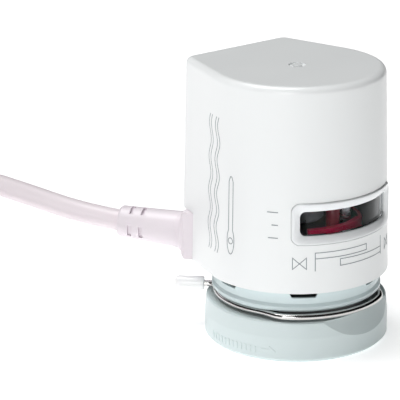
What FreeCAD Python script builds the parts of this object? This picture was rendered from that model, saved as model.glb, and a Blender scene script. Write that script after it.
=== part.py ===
import FreeCAD, Part
import Sketcher

import math
import os

# Thermoelectric actuator head for a radiator or manifold valve.
# Frame: +Z up along the actuator axis, Z = 0 at the bottom face of the coupling nut,
# the window faces -Y and the flat back faces +Y. All sizes are millimetres and degrees.

SIZES = {
    # housing shell
    "housing_radius": (20.5, "front radius of the housing at its bottom edge"),
    "housing_bottom": (16.0, "height of the housing's bottom edge"),
    "housing_height": (45.75, "housing from bottom edge to top face"),
    "housing_wall": (1.8, "side wall thickness"),
    "housing_top_wall": (2.2, "top wall thickness"),
    "housing_draft": (1.25, "moulding draft of the side walls"),
    "back_step": (2.4, "flat back further out than the front radius"),
    "back_distance": ("housing_radius + back_step", "axis to the flat back at the bottom edge"),
    "side_angle": (15.0, "turn of each flat side's normal towards the back"),
    "corner_round": (2.6, "radius of the upright back corners"),
    "top_round": (1.5, "radius round the top face"),
    "dimple_radius": (1.9, "moulded mark on the top face"),
    "dimple_depth": (0.35, "depth of the moulded mark"),
    # window
    "window_half_angle": (38.0, "half of the opening round the axis"),
    "window_bottom": (28.9, "lower edge of the opening"),
    "window_height": (5.5, "height of the opening"),
    "window_round": (1.3, "corner radius of the opening"),
    "window_border": (2.0, "width of the lens rim round the opening"),
    "lens_seat": (0.95, "depth of the lens seat in the wall"),
    "lens_proud": (0.3, "lens standing out of the wall"),
    "lens_gap": (0.06, "clearance round the lens"),
    # coupling nut
    "nut_radius": (20.5, "outer radius of the coupling nut"),
    "nut_height": (9.2, "height of the coupling nut"),
    "nut_band": (5.6, "height of the nut's straight outer band"),
    "nut_top_radius": (20.15, "outer radius at the nut's top edge"),
    "thread_radius": (14.19, "minor radius of the M30 x 1.5 internal thread"),
    "thread_length": (6.0, "length of the threaded bore"),
    "nut_lip": (1.4, "thickness of the lip that holds the base flange"),
    "scoop_angle": (76.0, "angle covered by each finger scoop"),
    "scoop_turn": (11.0, "middle of the first scoop from the window side"),
    "scoop_bottom": (4.4, "where a scoop starts on the outer band"),
    "scoop_radius": (18.9, "radius left at the top of a scoop"),
    # base
    "neck_radius": (16.0, "neck that turns in the nut's lip"),
    "neck_bore": (12.5, "inside of the neck"),
    "flange_step": (1.0, "snap flange beyond the neck"),
    "flange_height": (1.2, "thickness of the snap flange"),
    "turn_gap": (0.08, "running clearance between neck and nut lip"),
    "axial_gap": (0.25, "axial play of the nut on the base"),
    "wire_play": (0.25, "groove deeper than the retaining wire"),
    "wire_headroom": (0.1, "groove above the retaining wire"),
    "groove_radius": ("wire_hidden - wire_radius - wire_play", "bottom of the wire's groove"),
    "groove_height": ("2 * wire_radius + wire_lift + wire_headroom", "height of the wire's groove"),
    "collar_radius": (18.45, "visible collar under the housing"),
    "lip_step": (0.45, "rounded bead beyond the collar"),
    "lip_height": (1.6, "height of the bead"),
    "collar_bore": (16.6, "inside of the collar"),
    "floor_thickness": (2.6, "base floor"),
    "spigot_height": (3.0, "collar inside the housing"),
    "plate_height": (1.6, "plate that closes the housing's bottom"),
    "plate_gap": (0.15, "clearance between the plate and the housing"),
    "notch_count": (6, "vents in the collar's upper edge"),
    "notch_height": (1.7, "height of a vent"),
    "notch_half_top": (3.5, "half width of a vent at its top"),
    "notch_half_bottom": (2.6, "half width of a vent at its bottom"),
    "notch_turn": (-35.0, "middle of the first vent from the window side"),
    # moving carriage
    "stroke": (4.0, "lift of the carriage"),
    "guide_radius": (5.0, "plunger in its guide"),
    "guide_gap": (0.06, "running clearance of the plunger and the rods"),
    "guide_wall": (1.7, "wall of the guide sleeve"),
    "guide_drop": (2.2, "guide sleeve below the floor"),
    "tip_drop": (0.3, "plunger below the guide sleeve at rest"),
    "pad_radius": (3.6, "pressure pad in the plunger's tip"),
    "pad_height": (1.0, "thickness of the pressure pad"),
    "yoke_clearance": (0.8, "yoke above the floor at rest"),
    "yoke_thickness": (1.8, "thickness of the yoke bar"),
    "yoke_half_width": (2.5, "half width of the yoke bar"),
    "leg_radius": (1.8, "radius of a yoke leg"),
    "leg_offset": (10.0, "yoke leg from the axis"),
    "carriage_bottom": (25.2, "underside of the red carriage at rest"),
    "carriage_thickness": (1.8, "thickness of the carriage disc"),
    "rod_margin": (1.25, "carriage disc beyond a guide rod"),
    "carriage_radius": ("rod_offset + rod_radius + rod_margin", "radius of the carriage disc"),
    "flag_half_angle": (30.5, "half of the red flag round the axis"),
    "flag_height": (3.4, "height of the red flag over the disc's underside"),
    "flag_thickness": (1.3, "thickness of the red flag"),
    "post_radius": (1.5, "red post behind the window"),
    "post_offset": (12.2, "red post from the axis"),
    "post_height": (11.5, "red post above the disc"),
    # wax element and its supports
    "element_radius": (6.0, "wax element"),
    "element_height": (14.0, "wax element above the disc"),
    "element_neck": (3.2, "neck of the element in the disc"),
    "piston_radius": (1.6, "piston of the wax element"),
    "piston_gap": (0.06, "running clearance of the piston"),
    "piston_top": (36.0, "top of the piston"),
    "heater_radius": (5.2, "heating disc"),
    "heater_height": (1.4, "heating disc thickness"),
    "bridge_bottom": (20.5, "underside of the bridge"),
    "bridge_thickness": (3.0, "thickness of the bridge"),
    "bridge_half_width": (3.5, "half width of the bridge"),
    "bridge_half_span": (14.4, "half span of the bridge"),
    "bridge_leg": (2.0, "thickness of a bridge leg"),
    "rod_radius": (1.45, "guide rod"),
    "rod_clearance": (0.65, "clearance between the closing spring and a rod"),
    "rod_offset": ("spring_radius + spring_wire + rod_clearance + rod_radius", "rod from the axis"),
    "rod_turn": (21.0, "first guide rod from the window side"),
    # springs and contacts
    "seat_rim": (0.35, "flange beyond the closing spring"),
    "seat_flange": ("spring_radius + spring_wire + seat_rim", "flange under the closing spring"),
    "seat_thickness": (1.8, "thickness of the spring seat's flange"),
    "spring_radius": (9.0, "mean radius of the closing spring"),
    "spring_wire": (0.8, "wire radius of the closing spring"),
    "spring_turns": (4.5, "turns of the closing spring"),
    "cap_margin": (1.65, "spring cap beyond a guide rod"),
    "cap_radius": ("rod_offset + rod_radius + cap_margin", "spring cap under the housing top"),
    "cap_thickness": (2.9, "thickness of the spring cap"),
    "boss_gap": (0.4, "clearance between a boss and the closing spring"),
    "boss_radius": ("spring_radius - spring_wire - boss_gap", "bosses inside the closing spring"),
    "boss_height": (1.8, "height of the bosses"),
    "holder_radius": (5.0, "contact holder"),
    "holder_drop": (8.2, "contact holder below the spring cap"),
    "contact_offset": (2.6, "contact from the middle"),
    "contact_radius": (1.0, "mean radius of a contact spring"),
    "contact_wire": (0.18, "wire radius of a contact spring"),
    "contact_turns": (6.5, "turns of a contact spring"),
    "strip_width": (2.0, "width of a contact strip"),
    "strip_thickness": (0.5, "thickness of a contact strip"),
    "strip_cover": (1.25, "terminal block in front of a strip's outer face"),
    "strip_back": ("block_front + strip_cover", "outer face of a strip's rear leg"),
    "strip_end": (30.0, "lower end of a strip's rear leg"),
    "slot_gap": (0.1, "clearance round strips and cores"),
    "block_clearance": (0.35, "carriage disc to the terminal block"),
    "block_front": ("carriage_radius + block_clearance", "front of the terminal block"),
    "block_gap": (0.25, "terminal block's wall behind the spigot"),
    "spigot_radius": ("housing_radius - housing_wall - plate_gap", "collar inside the housing"),
    "block_back": ("spigot_radius + block_gap + block_wall", "rear of the terminal block"),
    "block_half_width": (5.0, "half width of the terminal block"),
    "block_bottom": (26.0, "underside of the terminal block's head"),
    "block_top": (38.0, "top of the terminal block"),
    "block_wall": (1.4, "rear wall that carries the block"),
    "core_radius": (0.8, "insulated core inside the housing"),
    # retaining wire
    "wire_radius": (0.7, "retaining wire"),
    "wire_hidden": (17.95, "wire's centre line under the collar"),
    "wire_shown": (19.55, "wire's centre line where it bulges out"),
    "wire_lift": (0.2, "wire above the floor of its groove"),
    "arm_turn": (135.0, "direction of the wire's arm from +X"),
    "grip_radius": (1.55, "white grip on the arm"),
    "grip_start": (20.75, "inner end of the grip from the axis"),
    "grip_length": (6.6, "length of the grip"),
    "grip_cover": (0.9, "grip beyond the wire's end"),
    # cable outlet
    "outlet_turn": (127.0, "direction of the cable outlet from +X"),
    "outlet_shift": (1.7, "outlet's axis beside the actuator's axis"),
    "outlet_height": (21.0, "height of the outlet's axis at its flange"),
    "outlet_lean": (4.0, "upward lean of the outlet sleeve"),
    "flange_half_width": (5.45, "half width of the grommet flange"),
    "flange_top": (26.9, "top of the grommet flange"),
    "flange_inner": (18.5, "inner face of the grommet flange"),
    "flange_outer": (25.9, "outer face of the grommet flange"),
    "flange_chamfer": (0.8, "bevel round the outer face"),
    "flange_gap": (0.08, "clearance round the grommet flange"),
    "sleeve_length": (15.6, "grommet sleeve beyond its flange"),
    "sleeve_wall": (1.1, "sleeve round the cable at its end"),
    "sleeve_flare": (0.6, "sleeve wider at the flange than at its end"),
    "sleeve_end": ("cable_radius + sleeve_wall", "sleeve radius at its end"),
    "sleeve_base": ("sleeve_end + sleeve_flare", "sleeve radius at the flange"),
    "sleeve_foot": (1.9, "length of the flare at the sleeve's foot"),
    "relief_width": (0.95, "width of a relief slot"),
    "relief_span": (2.9, "length of a relief slot across the sleeve"),
    "relief_first": (3.1, "first slots from the sleeve's end"),
    "relief_pitch": (2.7, "distance between the two rows of slots"),
    "relief_wall": (0.45, "wall left between a relief slot and the cable"),
    "relief_floor": ("cable_radius + relief_wall", "radius left under a relief slot"),
    # cable
    "cable_radius": (2.45, "sheathed cable"),
    "coil_radius": (25.0, "middle of the stored coil's turns"),
    "coil_across": (-92.0, "coil's centre along X"),
    "coil_behind": (42.0, "coil's centre along Y"),
    "coil_tracks": (2, "turns side by side in the coil"),
    "coil_layers": (3, "turns on top of each other in the coil"),
    "tail_radius": (0.95, "bared core at the cable's end"),
    "tail_length": (15.0, "bared core at the cable's end"),
    "tail_turn": (200.0, "where the tail leaves the coil, from its centre"),
    "tail_tilt": (50.0, "turn of the brown core into the coil"),
    "tail_fan": (10.0, "blue core turned that much less than the brown one"),
    "tail_spread": (8.0, "blue core beside the brown one, round the coil"),
    "ferrule_radius": (0.7, "ferrule on a core"),
    "ferrule_length": (6.5, "ferrule on a core"),
    "tie_width": (4.0, "tie round the coil"),
    "tie_turn": (250.0, "direction of the tie from the coil's centre"),
    "tie_thickness": (0.6, "tie round the coil"),
}

# The cable between the outlet sleeve and the coil, as points chosen by hand.
CABLE_ROUTE = [
    (-29.4, 41.7, 23.3),
    (-36.4, 50.0, 26.5),
    (-44.8, 58.2, 30.2),
    (-54.9, 64.9, 32.2),
    (-66.4, 69.3, 30.4),
    (-78.6, 70.4, 25.6),
    (-90.6, 69.2, 20.2),
    (-101.9, 65.6, 15.6),
    (-110.9, 58.2, 12.9),
]

doc = FreeCAD.newDocument("actuator_head")
sheet = doc.addObject("Spreadsheet::Sheet", "sizes")
for row, (alias, (value, note)) in enumerate(SIZES.items(), start=1):
    sheet.set(f"A{row}", alias)
    sheet.setAlias(f"B{row}", alias)
    sheet.set(f"C{row}", note)
for row, (value, note) in enumerate(SIZES.values(), start=1):
    formula = isinstance(value, str)
    sheet.set(f"B{row}", f"={value}" if formula else str(value))
doc.recompute()

X_AXIS = FreeCAD.Vector(1, 0, 0)
Y_AXIS = FreeCAD.Vector(0, 1, 0)
Z_AXIS = FreeCAD.Vector(0, 0, 1)
nodes = []


# ---------------------------------------------------------------- sheet helpers
def sheet_form(expression):
    """The expression with every alias written as the sheet's own cell."""
    words = []
    word = ""
    for sign in expression + " ":
        if sign.isalnum() or sign == "_":
            word += sign
            continue
        words.append(f"sizes.{word}" if word in SIZES else word)
        words.append(sign)
        word = ""
    return "".join(words).strip()


def size(expression):
    """The value of an expression in the sheet's aliases."""
    return float(sheet.evalExpression(expression))


def bind(thing, **expressions):
    """Ties properties to expressions; a double underscore stands for a dot."""
    for name, expression in expressions.items():
        thing.setExpression(name.replace("__", "."), sheet_form(expression))
    return thing


def node(thing, label):
    """Marks an object as a separate piece that is written out."""
    thing.Label = label
    nodes.append(thing)
    return thing


# --------------------------------------------------------------- PartDesign helpers
def new_body(name):
    return doc.addObject("PartDesign::Body", name)


def plane_of(body, role):
    return next(f for f in body.Origin.OriginFeatures if f.Role == role)


def new_sketch(body, name, role, height="0", turn="0"):
    """A sketch on an origin plane, lifted off it by height or turned about Z."""
    sketch = body.newObject("Sketcher::SketchObject", name)
    sketch.AttachmentSupport = (plane_of(body, role), [""])
    sketch.MapMode = "FlatFace"
    if height != "0":
        bind(sketch, AttachmentOffset__Base__z=height)
    if turn != "0":
        sketch.AttachmentOffset = FreeCAD.Placement(
            FreeCAD.Vector(), FreeCAD.Rotation(Y_AXIS, size(turn))
        )
        bind(sketch, AttachmentOffset__Rotation__Angle=turn)
    return sketch


def fix_corner(sketch, line, across, up):
    """Ties a line's start to the sheet; a zero puts it on the sketch's axis."""
    for kind, axis, expression in (("DistanceX", -2, across), ("DistanceY", -1, up)):
        if expression == "0":
            sketch.addConstraint(Sketcher.Constraint("PointOnObject", line, 1, axis))
            continue
        at = sketch.addConstraint(
            Sketcher.Constraint(kind, -1, 1, line, 1, size(expression))
        )
        sketch.setExpression(f"Constraints[{at}]", sheet_form(expression))


def polygon(sketch, corners):
    """A closed outline of straight edges through corners given as expressions."""
    points = [FreeCAD.Vector(size(x), size(y), 0) for x, y in corners]
    first = sketch.GeometryCount
    for start, end in zip(points, points[1:] + points[:1]):
        sketch.addGeometry(Part.LineSegment(start, end), False)
    for i in range(len(points)):
        following = first + (i + 1) % len(points)
        sketch.addConstraint(
            Sketcher.Constraint("Coincident", first + i, 2, following, 1)
        )
    for i, (across, up) in enumerate(corners):
        fix_corner(sketch, first + i, across, up)


def circle(sketch, radius):
    """A circle about the sketch's origin."""
    at = sketch.addGeometry(Part.Circle(FreeCAD.Vector(), Z_AXIS, size(radius)), False)
    sketch.addConstraint(Sketcher.Constraint("Coincident", at, 3, -1, 1))
    limit = sketch.addConstraint(Sketcher.Constraint("Radius", at, size(radius)))
    sketch.setExpression(f"Constraints[{limit}]", sheet_form(radius))


def housing_outline(sketch, inset):
    """The housing's plan: a round front, two flat sides and a flat back, set in by inset."""
    radius = f"housing_radius - ({inset})"
    back = f"back_distance - ({inset})"
    angle = math.radians(size("side_angle"))
    reach = size(radius)
    rear = size(back)
    side = FreeCAD.Vector(reach * math.cos(angle), reach * math.sin(angle), 0)
    run = (rear - side.y) / math.cos(angle)
    corner = FreeCAD.Vector(side.x - run * math.sin(angle), rear, 0)
    mirrored = [FreeCAD.Vector(-p.x, p.y, 0) for p in (corner, side)]
    front = Part.ArcOfCircle(
        Part.Circle(FreeCAD.Vector(), Z_AXIS, reach), math.pi - angle, 2 * math.pi + angle
    )
    sketch.addGeometry(front, False)
    sketch.addGeometry(Part.LineSegment(side, corner), False)
    sketch.addGeometry(Part.LineSegment(corner, mirrored[0]), False)
    sketch.addGeometry(Part.LineSegment(mirrored[0], mirrored[1]), False)
    for constraint in (
        Sketcher.Constraint("Coincident", 0, 3, -1, 1),
        Sketcher.Constraint("Tangent", 0, 2, 1, 1),
        Sketcher.Constraint("Coincident", 1, 2, 2, 1),
        Sketcher.Constraint("Coincident", 2, 2, 3, 1),
        Sketcher.Constraint("Tangent", 3, 2, 0, 1),
        Sketcher.Constraint("Symmetric", 1, 2, 2, 2, -2),
    ):
        sketch.addConstraint(constraint)
    for constraint, expression in (
        (Sketcher.Constraint("Radius", 0, reach), radius),
        (Sketcher.Constraint("DistanceY", -1, 1, 1, 2, rear), back),
        (Sketcher.Constraint("Angle", 1, math.pi / 2 + angle), "90 + side_angle"),
    ):
        at = sketch.addConstraint(constraint)
        sketch.setExpression(f"Constraints[{at}]", sheet_form(expression))


def revolve(body, sketch, name="turned"):
    feature = body.newObject("PartDesign::Revolution", name)
    feature.Profile = sketch
    feature.ReferenceAxis = (sketch, ["V_Axis"])
    feature.Angle = 360
    body.Tip = feature
    doc.recompute()
    return feature


def turned(label, corners):
    """A piece turned about Z from an outline of (radius, height) expressions."""
    body = new_body(label + "_body")
    sketch = new_sketch(body, label + "_profile", "XZ_Plane")
    polygon(sketch, corners)
    revolve(body, sketch, label + "_turned")
    return node(body, label)


def pad(body, sketch, name, length, both_ways=False, taper="0"):
    feature = body.newObject("PartDesign::Pad", name)
    feature.Profile = sketch
    bind(feature, Length=length, TaperAngle=taper)
    feature.Midplane = both_ways
    body.Tip = feature
    doc.recompute()
    return feature


def pocket(body, sketch, name, length, reversed_way=False, taper="0"):
    """A pocket that has to take something away."""
    before = body.Shape.Volume
    feature = body.newObject("PartDesign::Pocket", name)
    feature.Profile = sketch
    bind(feature, Length=length, TaperAngle=taper)
    feature.Reversed = reversed_way
    body.Tip = feature
    doc.recompute()
    if feature.Shape.Volume > before - 1e-6:
        raise RuntimeError(f"{name} cut nothing")
    return feature


def pattern(body, feature, name, count):
    """Copies of a feature round the Z axis."""
    turnings = body.newObject("PartDesign::PolarPattern", name)
    turnings.Originals = [feature]
    turnings.Axis = (plane_of(body, "Z_Axis"), [""])
    turnings.Angle = 360
    bind(turnings, Occurrences=count)
    body.Tip = turnings
    doc.recompute()
    return turnings


def edges_where(shape, test):
    return [
        f"Edge{i}" for i, edge in enumerate(shape.Edges, start=1) if test(edge)
    ]


def fillet(body, base, name, edges, radius):
    feature = body.newObject("PartDesign::Fillet", name)
    feature.Base = (base, edges)
    bind(feature, Radius=radius)
    body.Tip = feature
    doc.recompute()
    return feature


# --------------------------------------------------------------------- Part helpers
def box(name, low, lengths):
    """A box from its low corner and its three lengths, all expressions."""
    solid = doc.addObject("Part::Box", name)
    bind(solid, Length=lengths[0], Width=lengths[1], Height=lengths[2])
    bind(solid, Placement__Base__x=low[0], Placement__Base__y=low[1], Placement__Base__z=low[2])
    return solid


def cylinder(name, radius, height, base=("0", "0", "0")):
    solid = doc.addObject("Part::Cylinder", name)
    bind(solid, Radius=radius, Height=height)
    bind(solid, Placement__Base__x=base[0], Placement__Base__y=base[1], Placement__Base__z=base[2])
    return solid


def fuse(name, solids):
    joined = doc.addObject("Part::MultiFuse", name)
    joined.Shapes = solids
    joined.Refine = True
    return joined


def cut(name, base, tools):
    """The base with every tool taken away."""
    tool = tools[0] if len(tools) == 1 else fuse(name + "_tools", tools)
    result = doc.addObject("Part::Cut", name)
    result.Base = base
    result.Tool = tool
    return result


def formed(name, shape):
    """A shape made with Part's own functions from the sheet's sizes."""
    feature = doc.addObject("Part::Feature", name)
    feature.Shape = shape
    return feature


def around(radius, turn, height=0.0):
    """A point at a turn from the window side (-Y), counted towards +X."""
    angle = math.radians(turn)
    return FreeCAD.Vector(radius * math.sin(angle), -radius * math.cos(angle), height)


def ring_sector(inner, outer, bottom, height, half_angle, middle=0.0, rounding=0.0):
    """Part of a ring about Z; its four upright-face corners can be rounded."""
    top = bottom + height
    outline = [(inner, bottom), (outer, bottom), (outer, top), (inner, top), (inner, bottom)]
    face = Part.Face(Part.makePolygon([FreeCAD.Vector(r, 0, z) for r, z in outline]))
    sector = face.revolve(FreeCAD.Vector(), Z_AXIS, 2 * half_angle)
    sector.rotate(FreeCAD.Vector(), Z_AXIS, middle - 90 - half_angle)
    if rounding > 0:
        corners = [e for e in sector.Edges if is_radial(e)]
        sector = sector.makeFillet(rounding, corners)
    return sector


def is_radial(edge):
    """True for a straight edge that points at the Z axis."""
    if len(edge.Vertexes) != 2:
        return False
    start, end = (v.Point for v in edge.Vertexes)
    level = abs(start.z - end.z) < 1e-6
    apart = abs(math.hypot(start.x, start.y) - math.hypot(end.x, end.y)) > 1e-3
    return level and apart and isinstance(edge.Curve, Part.Line)


def route_wire(points):
    """Straight runs joined by tangent arcs, and the arcs' radii."""
    edges = []
    radii = []
    start = points[0]
    for before, corner, after in zip(points, points[1:], points[2:]):
        arriving = corner - before
        leaving = after - corner
        turn = arriving.getAngle(leaving)
        reach = 0.45 * min(arriving.Length, leaving.Length)
        radius = reach / math.tan(turn / 2)
        radii.append(radius)
        arriving.normalize()
        leaving.normalize()
        first = corner - arriving * reach
        last = corner + leaving * reach
        inward = leaving - arriving
        inward.normalize()
        centre = corner + inward * math.hypot(radius, reach)
        middle = centre - inward * radius
        edges.append(Part.LineSegment(start, first).toShape())
        edges.append(Part.Arc(first, middle, last).toShape())
        start = last
    edges.append(Part.LineSegment(start, points[-1]).toShape())
    return Part.Wire(edges), radii


def tube(name, points, radius):
    """A round tube along a route, checked against its section times its length."""
    path, radii = route_wire(points)
    direction = points[1] - points[0]
    section = Part.Wire(Part.Circle(points[0], direction, radius).toShape())
    solid = path.makePipeShell([section], True, False)
    expected = math.pi * radius**2 * path.Length
    if abs(solid.Volume - expected) > 0.01 * expected:
        raise RuntimeError(f"{name}: volume {solid.Volume:.1f}, expected {expected:.1f}")
    print(f"{name}: {path.Length:.1f} mm, radii", " ".join(f"{r:.1f}" for r in radii))
    return solid


def coil_spring(name, radius, wire, bottom, top, turns, x=0.0):
    """A compression spring that fills the height between bottom and top."""
    rise = top - bottom - 2 * wire
    path = Part.makeHelix(rise / turns, rise, radius)
    tangent = FreeCAD.Vector(0, 2 * math.pi * radius, rise / turns)
    section = Part.Wire(
        Part.Circle(FreeCAD.Vector(radius, 0, 0), tangent, wire).toShape()
    )
    solid = Part.Wire(path.Edges).makePipeShell([section], True, True)
    solid.translate(FreeCAD.Vector(x, 0, bottom + wire))
    expected = math.pi * wire**2 * path.Length
    if abs(solid.Volume - expected) > 0.02 * expected:
        raise RuntimeError(f"{name}: volume {solid.Volume:.1f}, expected {expected:.1f}")
    return node(formed(name, solid), name)


# ------------------------------------------------------------ heights that others use
FLANGE_BOTTOM = "thread_length + axial_gap"
NUT_RECESS_TOP = "nut_height - nut_lip"
SHOULDER = "nut_height + axial_gap"
LIP_BOTTOM = f"{SHOULDER} + groove_height"
FLOOR_BOTTOM = f"{SHOULDER} + 0.4"
FLOOR_TOP = f"{FLOOR_BOTTOM} + floor_thickness"
GUIDE_BOTTOM = f"{FLOOR_BOTTOM} - guide_drop"
SPIGOT_TOP = "housing_bottom + spigot_height"
HOUSING_TOP = "housing_bottom + housing_height"
CEILING = f"{HOUSING_TOP} - housing_top_wall"
CAP_BOTTOM = f"{CEILING} - cap_thickness"
DISC_TOP = "carriage_bottom + carriage_thickness"
ELEMENT_TOP = f"{DISC_TOP} + element_height"
HEATER_TOP = f"{ELEMENT_TOP} + heater_height"
HOLDER_BOTTOM = f"{CAP_BOTTOM} - holder_drop"
YOKE_BOTTOM = f"{FLOOR_TOP} + yoke_clearance"
YOKE_TOP = f"{YOKE_BOTTOM} + yoke_thickness"
BRIDGE_TOP = "bridge_bottom + bridge_thickness"
STRIP_TOP = f"{CEILING} - 0.6"
CORE_LINE = "strip_back - strip_thickness / 2"


# ---------------------------------------------------------------------- the outlet
OUTLET_WAY = FreeCAD.Vector(
    math.cos(math.radians(size("outlet_turn"))), math.sin(math.radians(size("outlet_turn"))), 0
)
OUTLET_ASIDE = FreeCAD.Vector(-OUTLET_WAY.y, OUTLET_WAY.x, 0) * -1


def outlet_point(along, aside, height):
    """A point in the outlet's own directions."""
    shifted = aside + size("outlet_shift")
    return OUTLET_WAY * along + OUTLET_ASIDE * shifted + Z_AXIS * height


def outlet_box(name, start, end, half_width, bottom, top):
    """A box set along the outlet's direction."""
    solid = box(name, ("0", "0", "0"), (f"{end} - ({start})", f"2 * ({half_width})", f"{top} - ({bottom})"))
    shift = f"outlet_shift + {half_width}"
    along = f"({start})"
    bind(
        solid,
        Placement__Base__x=f"{along} * cos(outlet_turn) + ({shift}) * sin(outlet_turn)",
        Placement__Base__y=f"{along} * sin(outlet_turn) - ({shift}) * cos(outlet_turn)",
        Placement__Base__z=bottom,
        Placement__Rotation__Angle="outlet_turn",
    )
    return solid


def outlet_cutout(name):
    """The corner cut that the grommet's flange slides up into."""
    return outlet_box(
        name,
        "flange_inner",
        "flange_outer + 8",
        "flange_half_width + flange_gap",
        "housing_bottom - 1",
        "flange_top + flange_gap",
    )


# ------------------------------------------------------------------------- housing
def make_housing():
    body = new_body("housing_body")
    outline = new_sketch(body, "housing_plan", "XY_Plane", "housing_bottom")
    housing_outline(outline, "0")
    block = pad(body, outline, "housing_block", "housing_height", taper="-housing_draft")

    def upright_corner(edge):
        start, end = (v.Point for v in edge.Vertexes) if len(edge.Vertexes) == 2 else (None, None)
        if start is None or abs(start.z - end.z) < 1:
            return False
        return min(start.y, end.y) > size("back_distance") * 0.9

    rounded = fillet(
        body, block, "back_corners", edges_where(block.Shape, upright_corner), "corner_round"
    )
    top = size(HOUSING_TOP)

    def on_top(edge):
        return all(abs(v.Point.z - top) < 1e-4 for v in edge.Vertexes)

    fillet(body, rounded, "top_edge", edges_where(rounded.Shape, on_top), "top_round")
    hollow = new_sketch(body, "cavity_plan", "XY_Plane", "housing_bottom")
    housing_outline(hollow, "housing_wall")
    depth = "housing_height - housing_top_wall"
    pocket(body, hollow, "cavity", depth, reversed_way=True, taper="-housing_draft")
    mark = new_sketch(body, "mark_plan", "XY_Plane", HOUSING_TOP)
    circle(mark, "dimple_radius")
    circle(mark, "dimple_radius * 0.55")
    pocket(body, mark, "moulded_mark", "dimple_depth")
    seat_radius = size("housing_radius - lens_seat") - draft_at("window_bottom + window_height / 2")
    opening = ring_sector(
        size("housing_radius * 0.7"),
        size("housing_radius + 3"),
        size("window_bottom"),
        size("window_height"),
        size("window_half_angle"),
        rounding=size("window_round"),
    )
    seat = lens_shape(seat_radius, size("housing_radius + 3"), 0.0)
    cuts = [
        formed("window_opening", opening),
        formed("lens_seating", seat),
        outlet_cutout("housing_outlet_cut"),
    ]
    node(cut("housing_cut", body, cuts), "housing_shell")
    lens = lens_shape(
        seat_radius + size("lens_gap"),
        seat_radius + size("lens_seat + lens_proud"),
        size("lens_gap"),
    )
    node(formed("lens", lens), "window_lens")


def draft_at(height):
    """How far the draft has brought the walls in at a height."""
    return (size(height) - size("housing_bottom")) * math.tan(math.radians(size("housing_draft")))


def lens_shape(inner, outer, gap):
    """The lens plate, or its seat when gap is zero."""
    border = size("window_border") - gap
    extra = math.degrees(border / size("housing_radius"))
    return ring_sector(
        inner,
        outer,
        size("window_bottom") - border,
        size("window_height") + 2 * border,
        size("window_half_angle") + extra,
        rounding=size("window_round") + border * 0.35,
    )


# ------------------------------------------------------------------- coupling nut
def scoop_tool(turn):
    """A wide ring set behind the nut's axis, so that a scoop fades out at both ends."""
    nut = size("nut_radius")
    scoop = size("scoop_radius")
    edge = nut * math.cos(math.radians(size("scoop_angle / 2")))
    shift = (nut**2 - scoop**2) / (2 * (scoop - edge))
    top = size("nut_height + 1")
    outline = [
        (nut + 0.02, size("scoop_bottom")),
        (nut + 2, size("scoop_bottom")),
        (nut + 2, top),
        (scoop - 0.4, top),
        (scoop, size("nut_height - 0.4")),
        (nut + 0.02, size("scoop_bottom")),
    ]
    face = Part.Face(Part.makePolygon([FreeCAD.Vector(shift + r, 0, z) for r, z in outline]))
    ring = face.revolve(FreeCAD.Vector(), Z_AXIS, 360)
    ring.translate(Y_AXIS * shift)
    ring.rotate(FreeCAD.Vector(), Z_AXIS, turn)
    return ring


def make_nut():
    body = new_body("nut_body")
    profile = new_sketch(body, "nut_profile", "XZ_Plane")
    lip_radius = "neck_radius + turn_gap"
    recess = "neck_radius + flange_step + 0.2"
    polygon(
        profile,
        [
            ("thread_radius", "0"),
            ("nut_radius - 0.8", "0"),
            ("nut_radius", "0.8"),
            ("nut_radius", "nut_band"),
            ("nut_top_radius", "nut_height - 0.3"),
            ("nut_top_radius - 0.3", "nut_height"),
            (lip_radius, "nut_height"),
            (lip_radius, NUT_RECESS_TOP),
            (recess, NUT_RECESS_TOP),
            (recess, "thread_length"),
            ("thread_radius", "thread_length"),
        ],
    )
    revolve(body, profile, "nut_turned")
    before = body.Shape.Volume
    tools = [
        formed(name, scoop_tool(size(f"scoop_turn + {opposite}")))
        for name, opposite in (("scoop_front", 0), ("scoop_rear", 180))
    ]
    scooped = cut("nut_cut", body, tools)
    doc.recompute()
    if scooped.Shape.Volume > before - 50:
        raise RuntimeError("the finger scoops cut nothing")
    node(scooped, "coupling_nut")


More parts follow.
